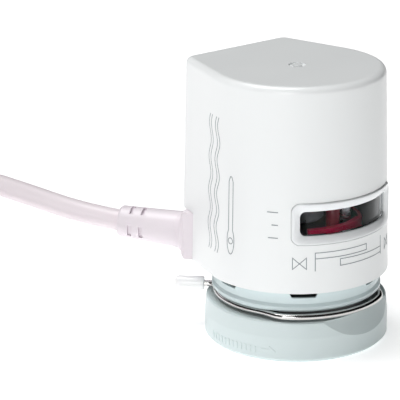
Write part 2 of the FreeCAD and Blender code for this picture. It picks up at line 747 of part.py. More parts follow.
# --------------------------------------------------------------------------- base
def make_base():
    body = new_body("base_body")
    profile = new_sketch(body, "base_profile", "XZ_Plane")
    bead = "collar_radius + lip_step"
    polygon(
        profile,
        [
            ("neck_bore", FLANGE_BOTTOM),
            ("neck_radius + flange_step", FLANGE_BOTTOM),
            ("neck_radius + flange_step", f"{FLANGE_BOTTOM} + flange_height"),
            ("neck_radius", f"{FLANGE_BOTTOM} + flange_height"),
            ("neck_radius", SHOULDER),
            ("groove_radius", SHOULDER),
            ("groove_radius", LIP_BOTTOM),
            (f"{bead} - 0.5", LIP_BOTTOM),
            (bead, f"{LIP_BOTTOM} + 0.5"),
            (bead, f"{LIP_BOTTOM} + lip_height - 0.4"),
            ("collar_radius", f"{LIP_BOTTOM} + lip_height + 0.2"),
            ("collar_radius", "housing_bottom + plate_height"),
            ("spigot_radius", "housing_bottom + plate_height"),
            ("spigot_radius", SPIGOT_TOP),
            ("collar_bore", SPIGOT_TOP),
            ("collar_bore", FLOOR_TOP),
            ("guide_radius + guide_gap", FLOOR_TOP),
            ("guide_radius + guide_gap", GUIDE_BOTTOM),
            ("guide_radius + guide_wall", GUIDE_BOTTOM),
            ("guide_radius + guide_wall", FLOOR_BOTTOM),
            ("neck_bore", FLOOR_BOTTOM),
        ],
    )
    revolve(body, profile, "base_turned")
    plate = new_sketch(body, "plate_plan", "XY_Plane", "housing_bottom")
    housing_outline(plate, "housing_wall + plate_gap")
    circle(plate, "collar_bore")
    pad(body, plate, "bottom_plate", "plate_height", taper="-housing_draft")
    vent = new_sketch(body, "vent_profile", "XZ_Plane", turn="notch_turn")
    polygon(
        vent,
        [
            ("-notch_half_bottom", "housing_bottom - notch_height"),
            ("notch_half_bottom", "housing_bottom - notch_height"),
            ("notch_half_top", "housing_bottom"),
            ("-notch_half_top", "housing_bottom"),
        ],
    )
    vent_cut = pocket(body, vent, "vent", "collar_radius + 3", True)
    pattern(body, vent_cut, "vents", "notch_count")
    node(cut("base_cut", body, [outlet_cutout("base_outlet_cut")]), "base_collar")


# --------------------------------------------------------------- bridge and rods
def make_bridge():
    leg_height = f"bridge_bottom - ({FLOOR_TOP})"
    bar = box(
        "bridge_bar",
        ("-bridge_half_span", "-bridge_half_width", "bridge_bottom"),
        ("2 * bridge_half_span", "2 * bridge_half_width", "bridge_thickness"),
    )
    legs = [
        box(name, (low, "-bridge_half_width", FLOOR_TOP), ("bridge_leg", "2 * bridge_half_width", leg_height))
        for name, low in (
            ("bridge_leg_left", "-bridge_half_span"),
            ("bridge_leg_right", "bridge_half_span - bridge_leg"),
        )
    ]
    node(fuse("bridge_parts", [bar, *legs]), "bridge")
    node(
        cylinder("piston", "piston_radius", f"piston_top - ({BRIDGE_TOP})", ("0", "0", BRIDGE_TOP)),
        "wax_piston",
    )


def rod_place(sign):
    """A guide rod's place as expressions; sign is 1 in front and -1 behind."""
    return (f"{sign} * rod_offset * sin(rod_turn)", f"{-sign} * rod_offset * cos(rod_turn)")


def make_rods():
    for label, sign in (("guide_rod_front", 1), ("guide_rod_rear", -1)):
        x, y = rod_place(sign)
        rod = cylinder(label + "_solid", "rod_radius", f"{CAP_BOTTOM} + 1 - ({FLOOR_TOP})", (x, y, FLOOR_TOP))
        node(rod, label)


# --------------------------------------------------------------------- carriage
def make_plunger():
    bottom = f"{GUIDE_BOTTOM} - tip_drop"
    stem = cylinder("plunger_stem", "guide_radius", f"{YOKE_TOP} - ({bottom})", ("0", "0", bottom))
    reach = "leg_offset + leg_radius"
    bar = box(
        "yoke_bar",
        ("-yoke_half_width", f"-({reach})", YOKE_BOTTOM),
        ("2 * yoke_half_width", f"2 * ({reach})", "yoke_thickness"),
    )
    legs = [
        cylinder(name, "leg_radius", f"carriage_bottom - ({YOKE_TOP})", ("0", y, YOKE_TOP))
        for name, y in (("yoke_leg_front", "-leg_offset"), ("yoke_leg_rear", "leg_offset"))
    ]
    seat = cylinder("pad_seat", "pad_radius", "pad_height * 0.6", ("0", "0", bottom))
    node(cut("plunger_cut", fuse("plunger_parts", [stem, bar, *legs]), [seat]), "plunger")
    pad_bottom = f"{bottom} - pad_height * 0.4"
    node(cylinder("pad_disc", "pad_radius", "pad_height", ("0", "0", pad_bottom)), "pressure_pad")


def make_carriage():
    disc = cylinder("carriage_disc", "carriage_radius", "carriage_thickness", ("0", "0", "carriage_bottom"))
    flag_outer = size("carriage_radius + 0.4")
    flag = formed(
        "carriage_flag",
        ring_sector(
            flag_outer - size("flag_thickness"),
            flag_outer,
            size("carriage_bottom"),
            size("flag_height"),
            size("flag_half_angle"),
        ),
    )
    post = cylinder("carriage_post", "post_radius", "post_height", ("0", "-post_offset", DISC_TOP))
    tools = [
        cylinder("element_hole", "element_neck", "carriage_thickness", ("0", "0", "carriage_bottom"))
    ]
    for name, sign in (("rod_hole_front", 1), ("rod_hole_rear", -1)):
        x, y = rod_place(sign)
        tools.append(
            cylinder(name, "rod_radius + guide_gap", "carriage_thickness", (x, y, "carriage_bottom"))
        )
    node(cut("carriage_cut", fuse("carriage_parts", [disc, flag, post]), tools), "indicator_carriage")


def make_element():
    turned(
        "wax_element",
        [
            ("piston_radius + piston_gap", "carriage_bottom"),
            ("element_neck", "carriage_bottom"),
            ("element_neck", DISC_TOP),
            ("element_radius - 0.4", DISC_TOP),
            ("element_radius", f"{DISC_TOP} + 0.4"),
            ("element_radius", ELEMENT_TOP),
            ("0", ELEMENT_TOP),
            ("0", "piston_top + 0.3"),
            ("piston_radius + piston_gap", "piston_top + 0.3"),
        ],
    )
    node(cylinder("heater", "heater_radius", "heater_height", ("0", "0", ELEMENT_TOP)), "heater_disc")
    skirt = "element_radius + slot_gap"
    opening = "heater_radius + slot_gap"
    turned(
        "spring_seat",
        [
            (skirt, f"{ELEMENT_TOP} - seat_thickness * 2"),
            ("boss_radius - 0.4", f"{ELEMENT_TOP} - seat_thickness * 2"),
            ("boss_radius - 0.4", f"{ELEMENT_TOP} - seat_thickness"),
            ("seat_flange", f"{ELEMENT_TOP} - seat_thickness"),
            ("seat_flange", ELEMENT_TOP),
            ("boss_radius", ELEMENT_TOP),
            ("boss_radius", f"{ELEMENT_TOP} + boss_height"),
            (opening, f"{ELEMENT_TOP} + boss_height"),
            (opening, ELEMENT_TOP),
            (skirt, ELEMENT_TOP),
        ],
    )


# ---------------------------------------------------------- springs and contacts
def make_cap():
    body = new_body("cap_body")
    profile = new_sketch(body, "cap_profile", "XZ_Plane")
    polygon(
        profile,
        [
            ("holder_radius", f"{CAP_BOTTOM} - boss_height"),
            ("boss_radius", f"{CAP_BOTTOM} - boss_height"),
            ("boss_radius", CAP_BOTTOM),
            ("cap_radius", CAP_BOTTOM),
            ("cap_radius", CEILING),
            ("holder_radius", CEILING),
        ],
    )
    revolve(body, profile, "cap_turned")
    groove = new_sketch(body, "cap_groove_plan", "XY_Plane", CEILING)
    half = "contact_offset + strip_width / 2 + slot_gap"
    polygon(
        groove,
        [
            (f"-({half})", "0"),
            (half, "0"),
            (half, "cap_radius + 1"),
            (f"-({half})", "cap_radius + 1"),
        ],
    )
    pocket(body, groove, "cap_groove", "0.6 + strip_thickness + slot_gap")
    tools = []
    for name, sign in (("cap_hole_front", 1), ("cap_hole_rear", -1)):
        x, y = rod_place(sign)
        tools.append(cylinder(name, "rod_radius", "1", (x, y, CAP_BOTTOM)))
    node(cut("cap_cut", body, tools), "spring_cap")


def make_contacts():
    top = f"{CEILING} - 0.6 - strip_thickness - slot_gap"
    body = cylinder("holder_blank", "holder_radius", f"{top} - ({HOLDER_BOTTOM})", ("0", "0", HOLDER_BOTTOM))
    slots = []
    for side, sign in (("left", -1), ("right", 1)):
        x = f"{sign} * contact_offset"
        slots.append(
            box(
                f"holder_slot_{side}",
                (f"{x} - strip_width / 2 - slot_gap", "-(strip_thickness / 2 + slot_gap)", HOLDER_BOTTOM),
                ("strip_width + 2 * slot_gap", "strip_thickness + 2 * slot_gap", f"{top} - ({HOLDER_BOTTOM})"),
            )
        )
        make_strip(f"contact_strip_{side}", x)
        coil_spring(
            f"contact_spring_{side}",
            size("contact_radius"),
            size("contact_wire"),
            size(HEATER_TOP),
            size(HOLDER_BOTTOM),
            size("contact_turns"),
            size(x),
        )
    node(cut("holder_cut", body, slots), "contact_holder")
    coil_spring(
        "closing_spring",
        size("spring_radius"),
        size("spring_wire"),
        size(ELEMENT_TOP),
        size(CAP_BOTTOM),
        size("spring_turns"),
    )


def make_strip(label, middle):
    """A bent contact strip: down to the contact, over the cap and down to the terminal."""
    body = new_body(label + "_body")
    sketch = new_sketch(body, label + "_bend", "YZ_Plane", middle)
    half = "strip_thickness / 2"
    under = f"{STRIP_TOP} - strip_thickness"
    polygon(
        sketch,
        [
            (f"-({half})", HOLDER_BOTTOM),
            (half, HOLDER_BOTTOM),
            (half, under),
            ("strip_back - strip_thickness", under),
            ("strip_back - strip_thickness", "strip_end"),
            ("strip_back", "strip_end"),
            ("strip_back", STRIP_TOP),
            (f"-({half})", STRIP_TOP),
        ],
    )
    pad(body, sketch, label + "_strip", "strip_width", True)
    node(body, label)


def make_terminals():
    head = box(
        "terminal_head",
        ("-block_half_width", "block_front", "block_bottom"),
        ("2 * block_half_width", "block_back - block_front", "block_top - block_bottom"),
    )
    wall_bottom = "housing_bottom + plate_height"
    wall = box(
        "terminal_wall",
        ("-block_half_width", "block_back - block_wall", wall_bottom),
        ("2 * block_half_width", "block_wall", f"block_bottom - ({wall_bottom})"),
    )
    tools = []
    for side, sign in (("left", -1), ("right", 1)):
        x = f"{sign} * contact_offset"
        tools.append(
            box(
                f"terminal_slot_{side}",
                (f"{x} - strip_width / 2 - slot_gap", "strip_back - strip_thickness - slot_gap", "strip_end"),
                ("strip_width + 2 * slot_gap", "strip_thickness + 2 * slot_gap", "block_top - strip_end"),
            )
        )
        tools.append(
            cylinder(
                f"terminal_bore_{side}",
                "core_radius + slot_gap",
                "strip_end - block_bottom",
                (x, CORE_LINE, "block_bottom"),
            )
        )
    node(cut("terminal_cut", fuse("terminal_parts", [head, wall]), tools), "terminal_block")


# ------------------------------------------------------------------ retaining wire
def make_clip():
    """An open wire ring that bulges out of its groove below the window."""
    level = size(f"{SHOULDER} + wire_lift + wire_radius")
    start = size("arm_turn") + 90
    step = 12.0
    hidden = size("wire_hidden") / math.cos(math.radians(step / 2))
    shown = size("wire_shown") / math.cos(math.radians(step / 2))
    points = [around(size("grip_start + grip_length - grip_cover"), start, level)]
    points.append(around(hidden, start, level))
    for k in range(1, 29):
        turn = start + k * step
        beyond = (turn - 360.0 + 180.0) % 360.0 - 180.0
        radius = shown if -54 < beyond < 36 else hidden
        points.append(around(radius, turn, level))
    node(formed("wire_ring", tube("retaining_wire", points, size("wire_radius"))), "retaining_wire")
    body = new_body("grip_body")
    sketch = new_sketch(body, "grip_profile", "XZ_Plane")
    polygon(
        sketch,
        [
            ("wire_radius", "0"),
            ("grip_radius - 0.15", "0"),
            ("grip_radius", "0.15"),
            ("grip_radius", "grip_length - 0.8"),
            ("grip_radius - 0.25", "grip_length - 0.3"),
            ("grip_radius - 0.8", "grip_length"),
            ("0", "grip_length"),
            ("0", "grip_length - grip_cover"),
            ("wire_radius", "grip_length - grip_cover"),
        ],
    )
    revolve(body, sketch, "grip_turned")
    way = FreeCAD.Vector(math.cos(math.radians(size("arm_turn"))), math.sin(math.radians(size("arm_turn"))), 0)
    body.Placement = FreeCAD.Placement(
        way * size("grip_start") + Z_AXIS * level, FreeCAD.Rotation(Z_AXIS, way)
    )
    node(body, "grip_cap")


# -------------------------------------------------------------------------- cable
def sleeve_frame():
    """Placement of the outlet sleeve: local Z runs out along the leaning axis."""
    lean = math.radians(size("outlet_lean"))
    way = OUTLET_WAY * math.cos(lean) + Z_AXIS * math.sin(lean)
    origin = outlet_point(size("flange_outer"), 0, size("outlet_height"))
    return FreeCAD.Placement(origin, FreeCAD.Rotation(Z_AXIS, way)), way


def make_grommet():
    flange = outlet_box(
        "flange_block", "flange_inner", "flange_outer", "flange_half_width", "housing_bottom", "flange_top"
    )
    doc.recompute()
    outer = [
        i
        for i, edge in enumerate(flange.Shape.Edges, start=1)
        if all(abs(v.Point.dot(OUTLET_WAY) - size("flange_outer")) < 1e-5 for v in edge.Vertexes)
    ]
    bevelled = doc.addObject("Part::Chamfer", "flange_bevel")
    bevelled.Base = flange
    bevelled.Edges = [(i, size("flange_chamfer"), size("flange_chamfer")) for i in outer]
    placement, way = sleeve_frame()
    body = new_body("sleeve_body")
    profile = new_sketch(body, "sleeve_profile", "XZ_Plane")
    polygon(
        profile,
        [
            ("0", "-2"),
            ("sleeve_base + 0.9", "-2"),
            ("sleeve_base + 0.9", "0.3"),
            ("sleeve_base + 0.25", "sleeve_foot * 0.5"),
            ("sleeve_base", "sleeve_foot"),
            ("sleeve_end", "sleeve_length - 0.5"),
            ("sleeve_end - 0.35", "sleeve_length"),
            ("0", "sleeve_length"),
        ],
    )
    revolve(body, profile, "sleeve_turned")
    slots = []
    for row in range(2):
        height = f"sleeve_length - relief_first - {row} * relief_pitch - relief_width / 2"
        for quarter in range(4):
            slot = Part.makeBox(
                size("relief_span"),
                4.0,
                size("relief_width"),
                FreeCAD.Vector(-size("relief_span") / 2, size("relief_floor"), size(height)),
            )
            slot.rotate(FreeCAD.Vector(), Z_AXIS, 90 * quarter + 20)
            slots.append(slot)
    reliefs = formed("relief_slots", Part.makeCompound(slots))
    slotted = doc.addObject("Part::Cut", "sleeve_slotted")
    slotted.Base = body
    slotted.Tool = reliefs
    slotted.Placement = placement
    node(fuse("grommet_parts", [bevelled, slotted]), "cable_grommet")
    return placement.multVec(FreeCAD.Vector(0, 0, size("sleeve_length"))), way


def make_cable(sleeve_end):
    points = [sleeve_end] + [FreeCAD.Vector(*place) for place in CABLE_ROUTE]
    node(formed("cable_run", tube("cable_tube", points, size("cable_radius"))), "cable_tube")
    width = size("coil_tracks * cable_radius")
    height = size("2 * coil_layers * cable_radius")
    inner = size("coil_radius") - width
    outer = size("coil_radius") + width
    centre = FreeCAD.Vector(size("coil_across"), size("coil_behind"), 0)
    bevel = size("cable_radius") * 0.5
    section = [
        (inner + bevel, 0.0),
        (outer - bevel, 0.0),
        (outer, bevel),
        (outer, height - bevel),
        (outer - bevel, height),
        (inner + bevel, height),
        (inner, height - bevel),
        (inner, bevel),
    ]
    face = Part.Face(Part.makePolygon([FreeCAD.Vector(r, 0, z) for r, z in section + section[:1]]))
    coil = face.revolve(FreeCAD.Vector(), Z_AXIS, 360)
    coil.translate(centre)
    node(formed("coil_of_cable", coil), "cable_coil")
    make_tie(centre, inner, outer, height)
    make_tail(centre, inner)


def make_tie(centre, inner, outer, height):
    """A flat strap looped round the coil's turns."""
    thickness = size("tie_thickness")
    width = size("tie_width")
    strap = Part.makeBox(
        outer - inner + 2 * thickness,
        width,
        height + thickness,
        FreeCAD.Vector(inner - thickness, -width / 2, 0),
    )
    inside = Part.makeBox(
        outer - inner - thickness,
        width,
        height - 2 * thickness,
        FreeCAD.Vector(inner + thickness / 2, -width / 2, thickness),
    )
    loop = strap.cut(inside)
    loop.rotate(FreeCAD.Vector(), Z_AXIS, size("tie_turn"))
    loop.translate(centre)
    node(formed("tie_strap", loop), "coil_tie")


def make_tail(centre, inner):
    """The cable's end inside the coil: two bared cores with their ferrules."""
    radius = size("tail_radius")
    length = size("tail_length")
    spread = size("tail_spread")
    start_radius = inner + radius * 1.5
    for label, step, tilt in (("brown", 0.0, "tail_tilt"), ("blue", spread, "tail_tilt - tail_fan")):
        turn = size("tail_turn") + step
        start = FreeCAD.Vector(start_radius, 0, radius)
        start = FreeCAD.Rotation(Z_AXIS, turn).multVec(start) + centre
        way = FreeCAD.Rotation(Z_AXIS, turn + 90 + size(tilt)).multVec(X_AXIS)
        core = Part.makeCylinder(radius, length, start, way)
        node(formed(f"tail_{label}", core), f"tail_core_{label}")
        end = start + way * length
        ferrule = Part.makeCylinder(size("ferrule_radius"), size("ferrule_length"), end, way)
        node(formed(f"tail_ferrule_{label}", ferrule), f"ferrule_{label}")


def make_inner_cores():
    """The two cores from the grommet to the terminals, inside the housing."""
    turn_in = OUTLET_WAY * -3.0
    line = size(CORE_LINE)
    for label, rise, sign in (("brown", 1.6, -1), ("blue", -0.5, 1)):
        start = outlet_point(size("flange_inner"), 0, size("outlet_height") + rise)
        x = sign * size("contact_offset")
        points = [
            start,
            start + turn_in,
            FreeCAD.Vector(x, line, size("outlet_height") + rise + 0.1),
            FreeCAD.Vector(x, line, size("strip_end")),
        ]
        solid = tube(f"inner_core_{label}", points, size("core_radius"))
        node(formed(f"core_run_{label}", solid), f"inner_core_{label}")


# ----------------------------------------------------------------- build and write
make_housing()
make_nut()
make_base()
make_bridge()
make_rods()
make_plunger()
make_carriage()
make_element()
make_cap()
make_contacts()
make_terminals()
make_clip()
outlet_end, outlet_way = make_grommet()
make_cable(outlet_end)
make_inner_cores()
doc.recompute()

for thing in doc.Objects:
    if "Invalid" in thing.State or "Error" in thing.State:
        raise RuntimeError(f"{thing.Name} ({thing.Label}) failed: {thing.State}")
for piece in nodes:
    shape = piece.Shape
    if shape.isNull() or not shape.isValid():
        raise RuntimeError(f"{piece.Label} has no valid shape")
    if len(shape.Solids) != 1:
        raise RuntimeError(f"{piece.Label} has {len(shape.Solids)} solids")

os.makedirs("parts", exist_ok=True)
for piece in nodes:
    piece.Shape.exportStep(f"parts/{piece.Label}.step")
    b = piece.Shape.BoundBox
    print(
        f"{piece.Label}: {piece.Shape.Volume:.1f} mm3, x {b.XMin:.2f} {b.XMax:.2f},"
        f" y {b.YMin:.2f} {b.YMax:.2f}, z {b.ZMin:.2f} {b.ZMax:.2f}"
    )
print(len(nodes), "pieces")
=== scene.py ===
"""Looks of a thermal actuator head: finishes, engraved marks, lens, nut marks and cable."""

import logging
import math
from dataclasses import dataclass, field
from enum import Enum
from typing import Iterable, Sequence

import bmesh
import bpy
from mathutils import Matrix, Vector


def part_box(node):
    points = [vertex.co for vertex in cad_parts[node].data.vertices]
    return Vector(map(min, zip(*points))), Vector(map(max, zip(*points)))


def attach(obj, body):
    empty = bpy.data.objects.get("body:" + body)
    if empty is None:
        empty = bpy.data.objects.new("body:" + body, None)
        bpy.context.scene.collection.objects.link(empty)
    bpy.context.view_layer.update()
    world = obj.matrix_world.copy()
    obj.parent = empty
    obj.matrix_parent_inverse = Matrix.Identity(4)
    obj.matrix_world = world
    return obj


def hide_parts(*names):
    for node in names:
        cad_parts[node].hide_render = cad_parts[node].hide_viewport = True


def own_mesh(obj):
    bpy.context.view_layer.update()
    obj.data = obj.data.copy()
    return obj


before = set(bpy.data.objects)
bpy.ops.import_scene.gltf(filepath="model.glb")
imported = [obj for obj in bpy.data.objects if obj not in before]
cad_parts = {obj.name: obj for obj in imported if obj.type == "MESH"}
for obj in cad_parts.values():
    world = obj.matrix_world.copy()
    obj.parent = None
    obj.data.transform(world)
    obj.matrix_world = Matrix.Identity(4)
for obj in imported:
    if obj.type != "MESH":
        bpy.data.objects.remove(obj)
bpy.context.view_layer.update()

MM = 0.001
NOISE_LOW = 0.15
NOISE_HIGH = 0.85
LOG = logging.getLogger("actuator_head")


# --------------------------------------------------------------------------- options
class Body(Enum):
    """Moving groups of the model that a piece can ride on."""

    BASE = "base"
    NUT = "coupling_nut"


class MarkKind(Enum):
    """How an engraved line closes on itself."""

    OPEN = "open"
    LOOP = "loop"


# ------------------------------------------------------------------------- mesh tools
def mesh_piece(
    name: str,
    points: Sequence[Vector],
    faces: Sequence[Sequence[int]],
    material: bpy.types.Material,
    body: Body,
    smooth: bool = True,
) -> bpy.types.Object:
    """Makes a closed mesh piece that rides on a body.

    Args:
        name: Name of the piece.
        points: Vertices in metres, in the model's frame.
        faces: Vertex numbers of each face.
        material: Finish of the whole piece.
        body: Body that the piece moves with.
        smooth: Whether faces are shaded smooth where they meet gently.

    Returns:
        The new object.
    """
    mesh = bpy.data.meshes.new(name)
    mesh.from_pydata([tuple(point) for point in points], [], [tuple(face) for face in faces])
    return finish_mesh(name, mesh, material, body, smooth)


def finish_mesh(
    name: str,
    mesh: bpy.types.Mesh,
    material: bpy.types.Material,
    body: Body,
    smooth: bool = True,
    crease: float = 32.0,
) -> bpy.types.Object:
    """Cleans a mesh, turns its normals out and links it to a body.

    Args:
        name: Name of the piece.
        mesh: The mesh, with its place in its vertices.
        material: Finish of the whole piece.
        body: Body that the piece moves with.
        smooth: Whether faces are shaded smooth where they meet gently.
        crease: Angle in degrees past which an edge stays sharp.

    Returns:
        The new object.
    """
    work = bmesh.new()
    work.from_mesh(mesh)
    bmesh.ops.remove_doubles(work, verts=work.verts, dist=1e-7)
    bmesh.ops.recalc_face_normals(work, faces=work.faces)
    for edge in work.edges:
        edge.smooth = edge.calc_face_angle(0.0) < math.radians(crease)
    for face in work.faces:
        face.smooth = smooth
    work.to_mesh(mesh)
    work.free()
    mesh.materials.clear()
    mesh.materials.append(material)
    piece = bpy.data.objects.new(name, mesh)
    bpy.context.scene.collection.objects.link(piece)
    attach(piece, body.value)
    return piece


def loft(rings: Sequence[Sequence[Vector]], around: bool, ends: bool) -> tuple[list[Vector], list[list[int]]]:
    """Joins equal rings of points with faces.

    Args:
        rings: Rings of points, each with the same count.
        around: Whether the last ring joins the first.
        ends: Whether the first and last rings are closed with a face.

    Returns:
        The points and the faces.
    """
    count = len(rings[0])
    points = [point for ring in rings for point in ring]
    faces: list[list[int]] = []
    spans = len(rings) if around else len(rings) - 1
    for row in range(spans):
        low = row * count
        high = ((row + 1) % len(rings)) * count
        for k in range(count):
            after = (k + 1) % count
            faces.append([low + k, low + after, high + after, high + k])
    if ends and not around:
        faces.append(list(range(count))[::-1])
        faces.append([(len(rings) - 1) * count + k for k in range(count)])
    return points, faces


# ------------------------------------------------------------------- shader node tools
class NodeGroups:
    """Shader groups that several finishes share, built once."""

    def __init__(self) -> None:
        """Starts with no group built."""
        self.made: dict[str, bpy.types.NodeTree] = {}

    def new(
        self, name: str, inputs: Sequence[tuple[str, str, object]], outputs: Sequence[tuple[str, str]]
    ) -> bpy.types.NodeTree:
        """Makes an empty group with its sockets.

        Args:
            name: Name of the group.
            inputs: Name, socket type and default of each input.
            outputs: Name and socket type of each output.

        Returns:
            The group, with its input and output nodes in place.
        """
        tree = bpy.data.node_groups.new(name, "ShaderNodeTree")
        for label, kind, default in inputs:
            socket = tree.interface.new_socket(name=label, in_out="INPUT", socket_type=kind)
            if default is not None:
                socket.default_value = default
        for label, kind in outputs:
            tree.interface.new_socket(name=label, in_out="OUTPUT", socket_type=kind)
        tree.nodes.new("NodeGroupInput").name = "in"
        tree.nodes.new("NodeGroupOutput").name = "out"
        self.made[name] = tree
        return tree

    def grain(self) -> bpy.types.NodeTree:
        """Builds the fine surface grain of a moulding.

        Returns:
            A group with Vector, Scale and Pits in and Height out.
        """
        if "moulded_grain" in self.made:
            return self.made["moulded_grain"]
        tree = self.new(
            "moulded_grain",
            [
                ("Vector", "NodeSocketVector", None),
                ("Scale", "NodeSocketFloat", 900.0),
                ("Pits", "NodeSocketFloat", 0.3),
            ],
            [("Height", "NodeSocketFloat")],
        )
        nodes, links = tree.nodes, tree.links
        noise = nodes.new("ShaderNodeTexNoise")
        noise.inputs["Detail"].default_value = 3.0
        cells = nodes.new("ShaderNodeTexVoronoi")
        mix = nodes.new("ShaderNodeMix")
        for texture in (noise, cells):
            links.new(nodes["in"].outputs["Vector"], texture.inputs["Vector"])
            links.new(nodes["in"].outputs["Scale"], texture.inputs["Scale"])
        links.new(nodes["in"].outputs["Pits"], mix.inputs[0])
        links.new(noise.outputs["Fac"], mix.inputs[2])
        links.new(cells.outputs["Distance"], mix.inputs[3])
        links.new(mix.outputs[0], nodes["out"].inputs["Height"])
        return tree

    def drift(self) -> bpy.types.NodeTree:
        """Builds a slow change between two tones over a surface.

        Returns:
            A group with Vector, Scale, Amount and two colours in and Colour out.
        """
        if "tone_drift" in self.made:
            return self.made["tone_drift"]
        tree = self.new(
            "tone_drift",
            [
                ("Vector", "NodeSocketVector", None),
                ("Scale", "NodeSocketFloat", 40.0),
                ("Amount", "NodeSocketFloat", 0.5),
                ("Colour", "NodeSocketColor", (1, 1, 1, 1)),
                ("Other Colour", "NodeSocketColor", (0.5, 0.5, 0.5, 1)),
            ],
            [("Colour", "NodeSocketColor")],
        )
        nodes, links = tree.nodes, tree.links
        noise = nodes.new("ShaderNodeTexNoise")
        noise.inputs["Detail"].default_value = 1.5
        band = nodes.new("ShaderNodeMapRange")
        band.inputs["From Min"].default_value = NOISE_LOW
        band.inputs["From Max"].default_value = NOISE_HIGH
        scaled = nodes.new("ShaderNodeMath")
        scaled.operation = "MULTIPLY"
        mix = nodes.new("ShaderNodeMix")
        mix.data_type = "RGBA"
        group = nodes["in"].outputs
        links.new(group["Vector"], noise.inputs["Vector"])
        links.new(group["Scale"], noise.inputs["Scale"])
        links.new(noise.outputs["Fac"], band.inputs["Value"])
        links.new(band.outputs["Result"], scaled.inputs[0])
        links.new(group["Amount"], scaled.inputs[1])
        links.new(scaled.outputs[0], mix.inputs[0])
        links.new(group["Colour"], mix.inputs[6])
        links.new(group["Other Colour"], mix.inputs[7])
        links.new(mix.outputs[2], nodes["out"].inputs["Colour"])
        return tree

    def painted_inner_shade(self) -> bpy.types.NodeTree:
        """Builds painted shade on a shell's inside: a darker colour within a radius and below a height.

        Returns:
            A group with Vector, Radius, Top and two colours in and Colour out.
        """
        if "painted_inner_shade" in self.made:
            return self.made["painted_inner_shade"]
        tree = self.new(
            "painted_inner_shade",
            [
                ("Vector", "NodeSocketVector", None),
                ("Radius", "NodeSocketFloat", 0.01),
                ("Top", "NodeSocketFloat", 1.0),
                ("Colour", "NodeSocketColor", (1, 1, 1, 1)),
                ("Painted Shade Colour", "NodeSocketColor", (0.02, 0.02, 0.02, 1)),
            ],
            [("Colour", "NodeSocketColor")],
        )
        nodes, links = tree.nodes, tree.links
        parts = nodes.new("ShaderNodeSeparateXYZ")
        flat = nodes.new("ShaderNodeCombineXYZ")
        reach = nodes.new("ShaderNodeVectorMath")
        reach.operation = "LENGTH"
        near, low, both = (nodes.new("ShaderNodeMath") for _ in range(3))
        near.operation = low.operation = "LESS_THAN"
        both.operation = "MULTIPLY"
        mix = nodes.new("ShaderNodeMix")
        mix.data_type = "RGBA"
        group = nodes["in"].outputs
        links.new(group["Vector"], parts.inputs[0])
        links.new(parts.outputs["X"], flat.inputs["X"])
        links.new(parts.outputs["Y"], flat.inputs["Y"])
        links.new(flat.outputs[0], reach.inputs[0])
        links.new(reach.outputs["Value"], near.inputs[0])
        links.new(group["Radius"], near.inputs[1])
        links.new(parts.outputs["Z"], low.inputs[0])
        links.new(group["Top"], low.inputs[1])
        links.new(near.outputs[0], both.inputs[0])
        links.new(low.outputs[0], both.inputs[1])
        # Within the radius and below the top, the painted shade colour takes the place of the surface colour.
        links.new(both.outputs[0], mix.inputs[0])
        links.new(group["Colour"], mix.inputs[6])
        links.new(group["Painted Shade Colour"], mix.inputs[7])
        links.new(mix.outputs[2], nodes["out"].inputs["Colour"])
        return tree

    def gloss(self) -> bpy.types.NodeTree:
        """Builds the faint unevenness of a handled surface's gloss.

        Returns:
            A group with Vector, Scale, Low and High in and Roughness out.
        """
        if "handled_gloss" in self.made:
            return self.made["handled_gloss"]
        tree = self.new(
            "handled_gloss",
            [
                ("Vector", "NodeSocketVector", None),
                ("Scale", "NodeSocketFloat", 120.0),
                ("Low", "NodeSocketFloat", 0.3),
                ("High", "NodeSocketFloat", 0.4),
            ],
            [("Roughness", "NodeSocketFloat")],
        )
        nodes, links = tree.nodes, tree.links
        noise = nodes.new("ShaderNodeTexNoise")
        noise.inputs["Detail"].default_value = 2.0
        band = nodes.new("ShaderNodeMapRange")
        band.inputs["From Min"].default_value = NOISE_LOW
        band.inputs["From Max"].default_value = NOISE_HIGH
        group = nodes["in"].outputs
        links.new(group["Vector"], noise.inputs["Vector"])
        links.new(group["Scale"], noise.inputs["Scale"])
        links.new(noise.outputs["Fac"], band.inputs["Value"])
        links.new(group["Low"], band.inputs["To Min"])
        links.new(group["High"], band.inputs["To Max"])
        links.new(band.outputs["Result"], nodes["out"].inputs["Roughness"])
        return tree


GROUPS = NodeGroups()


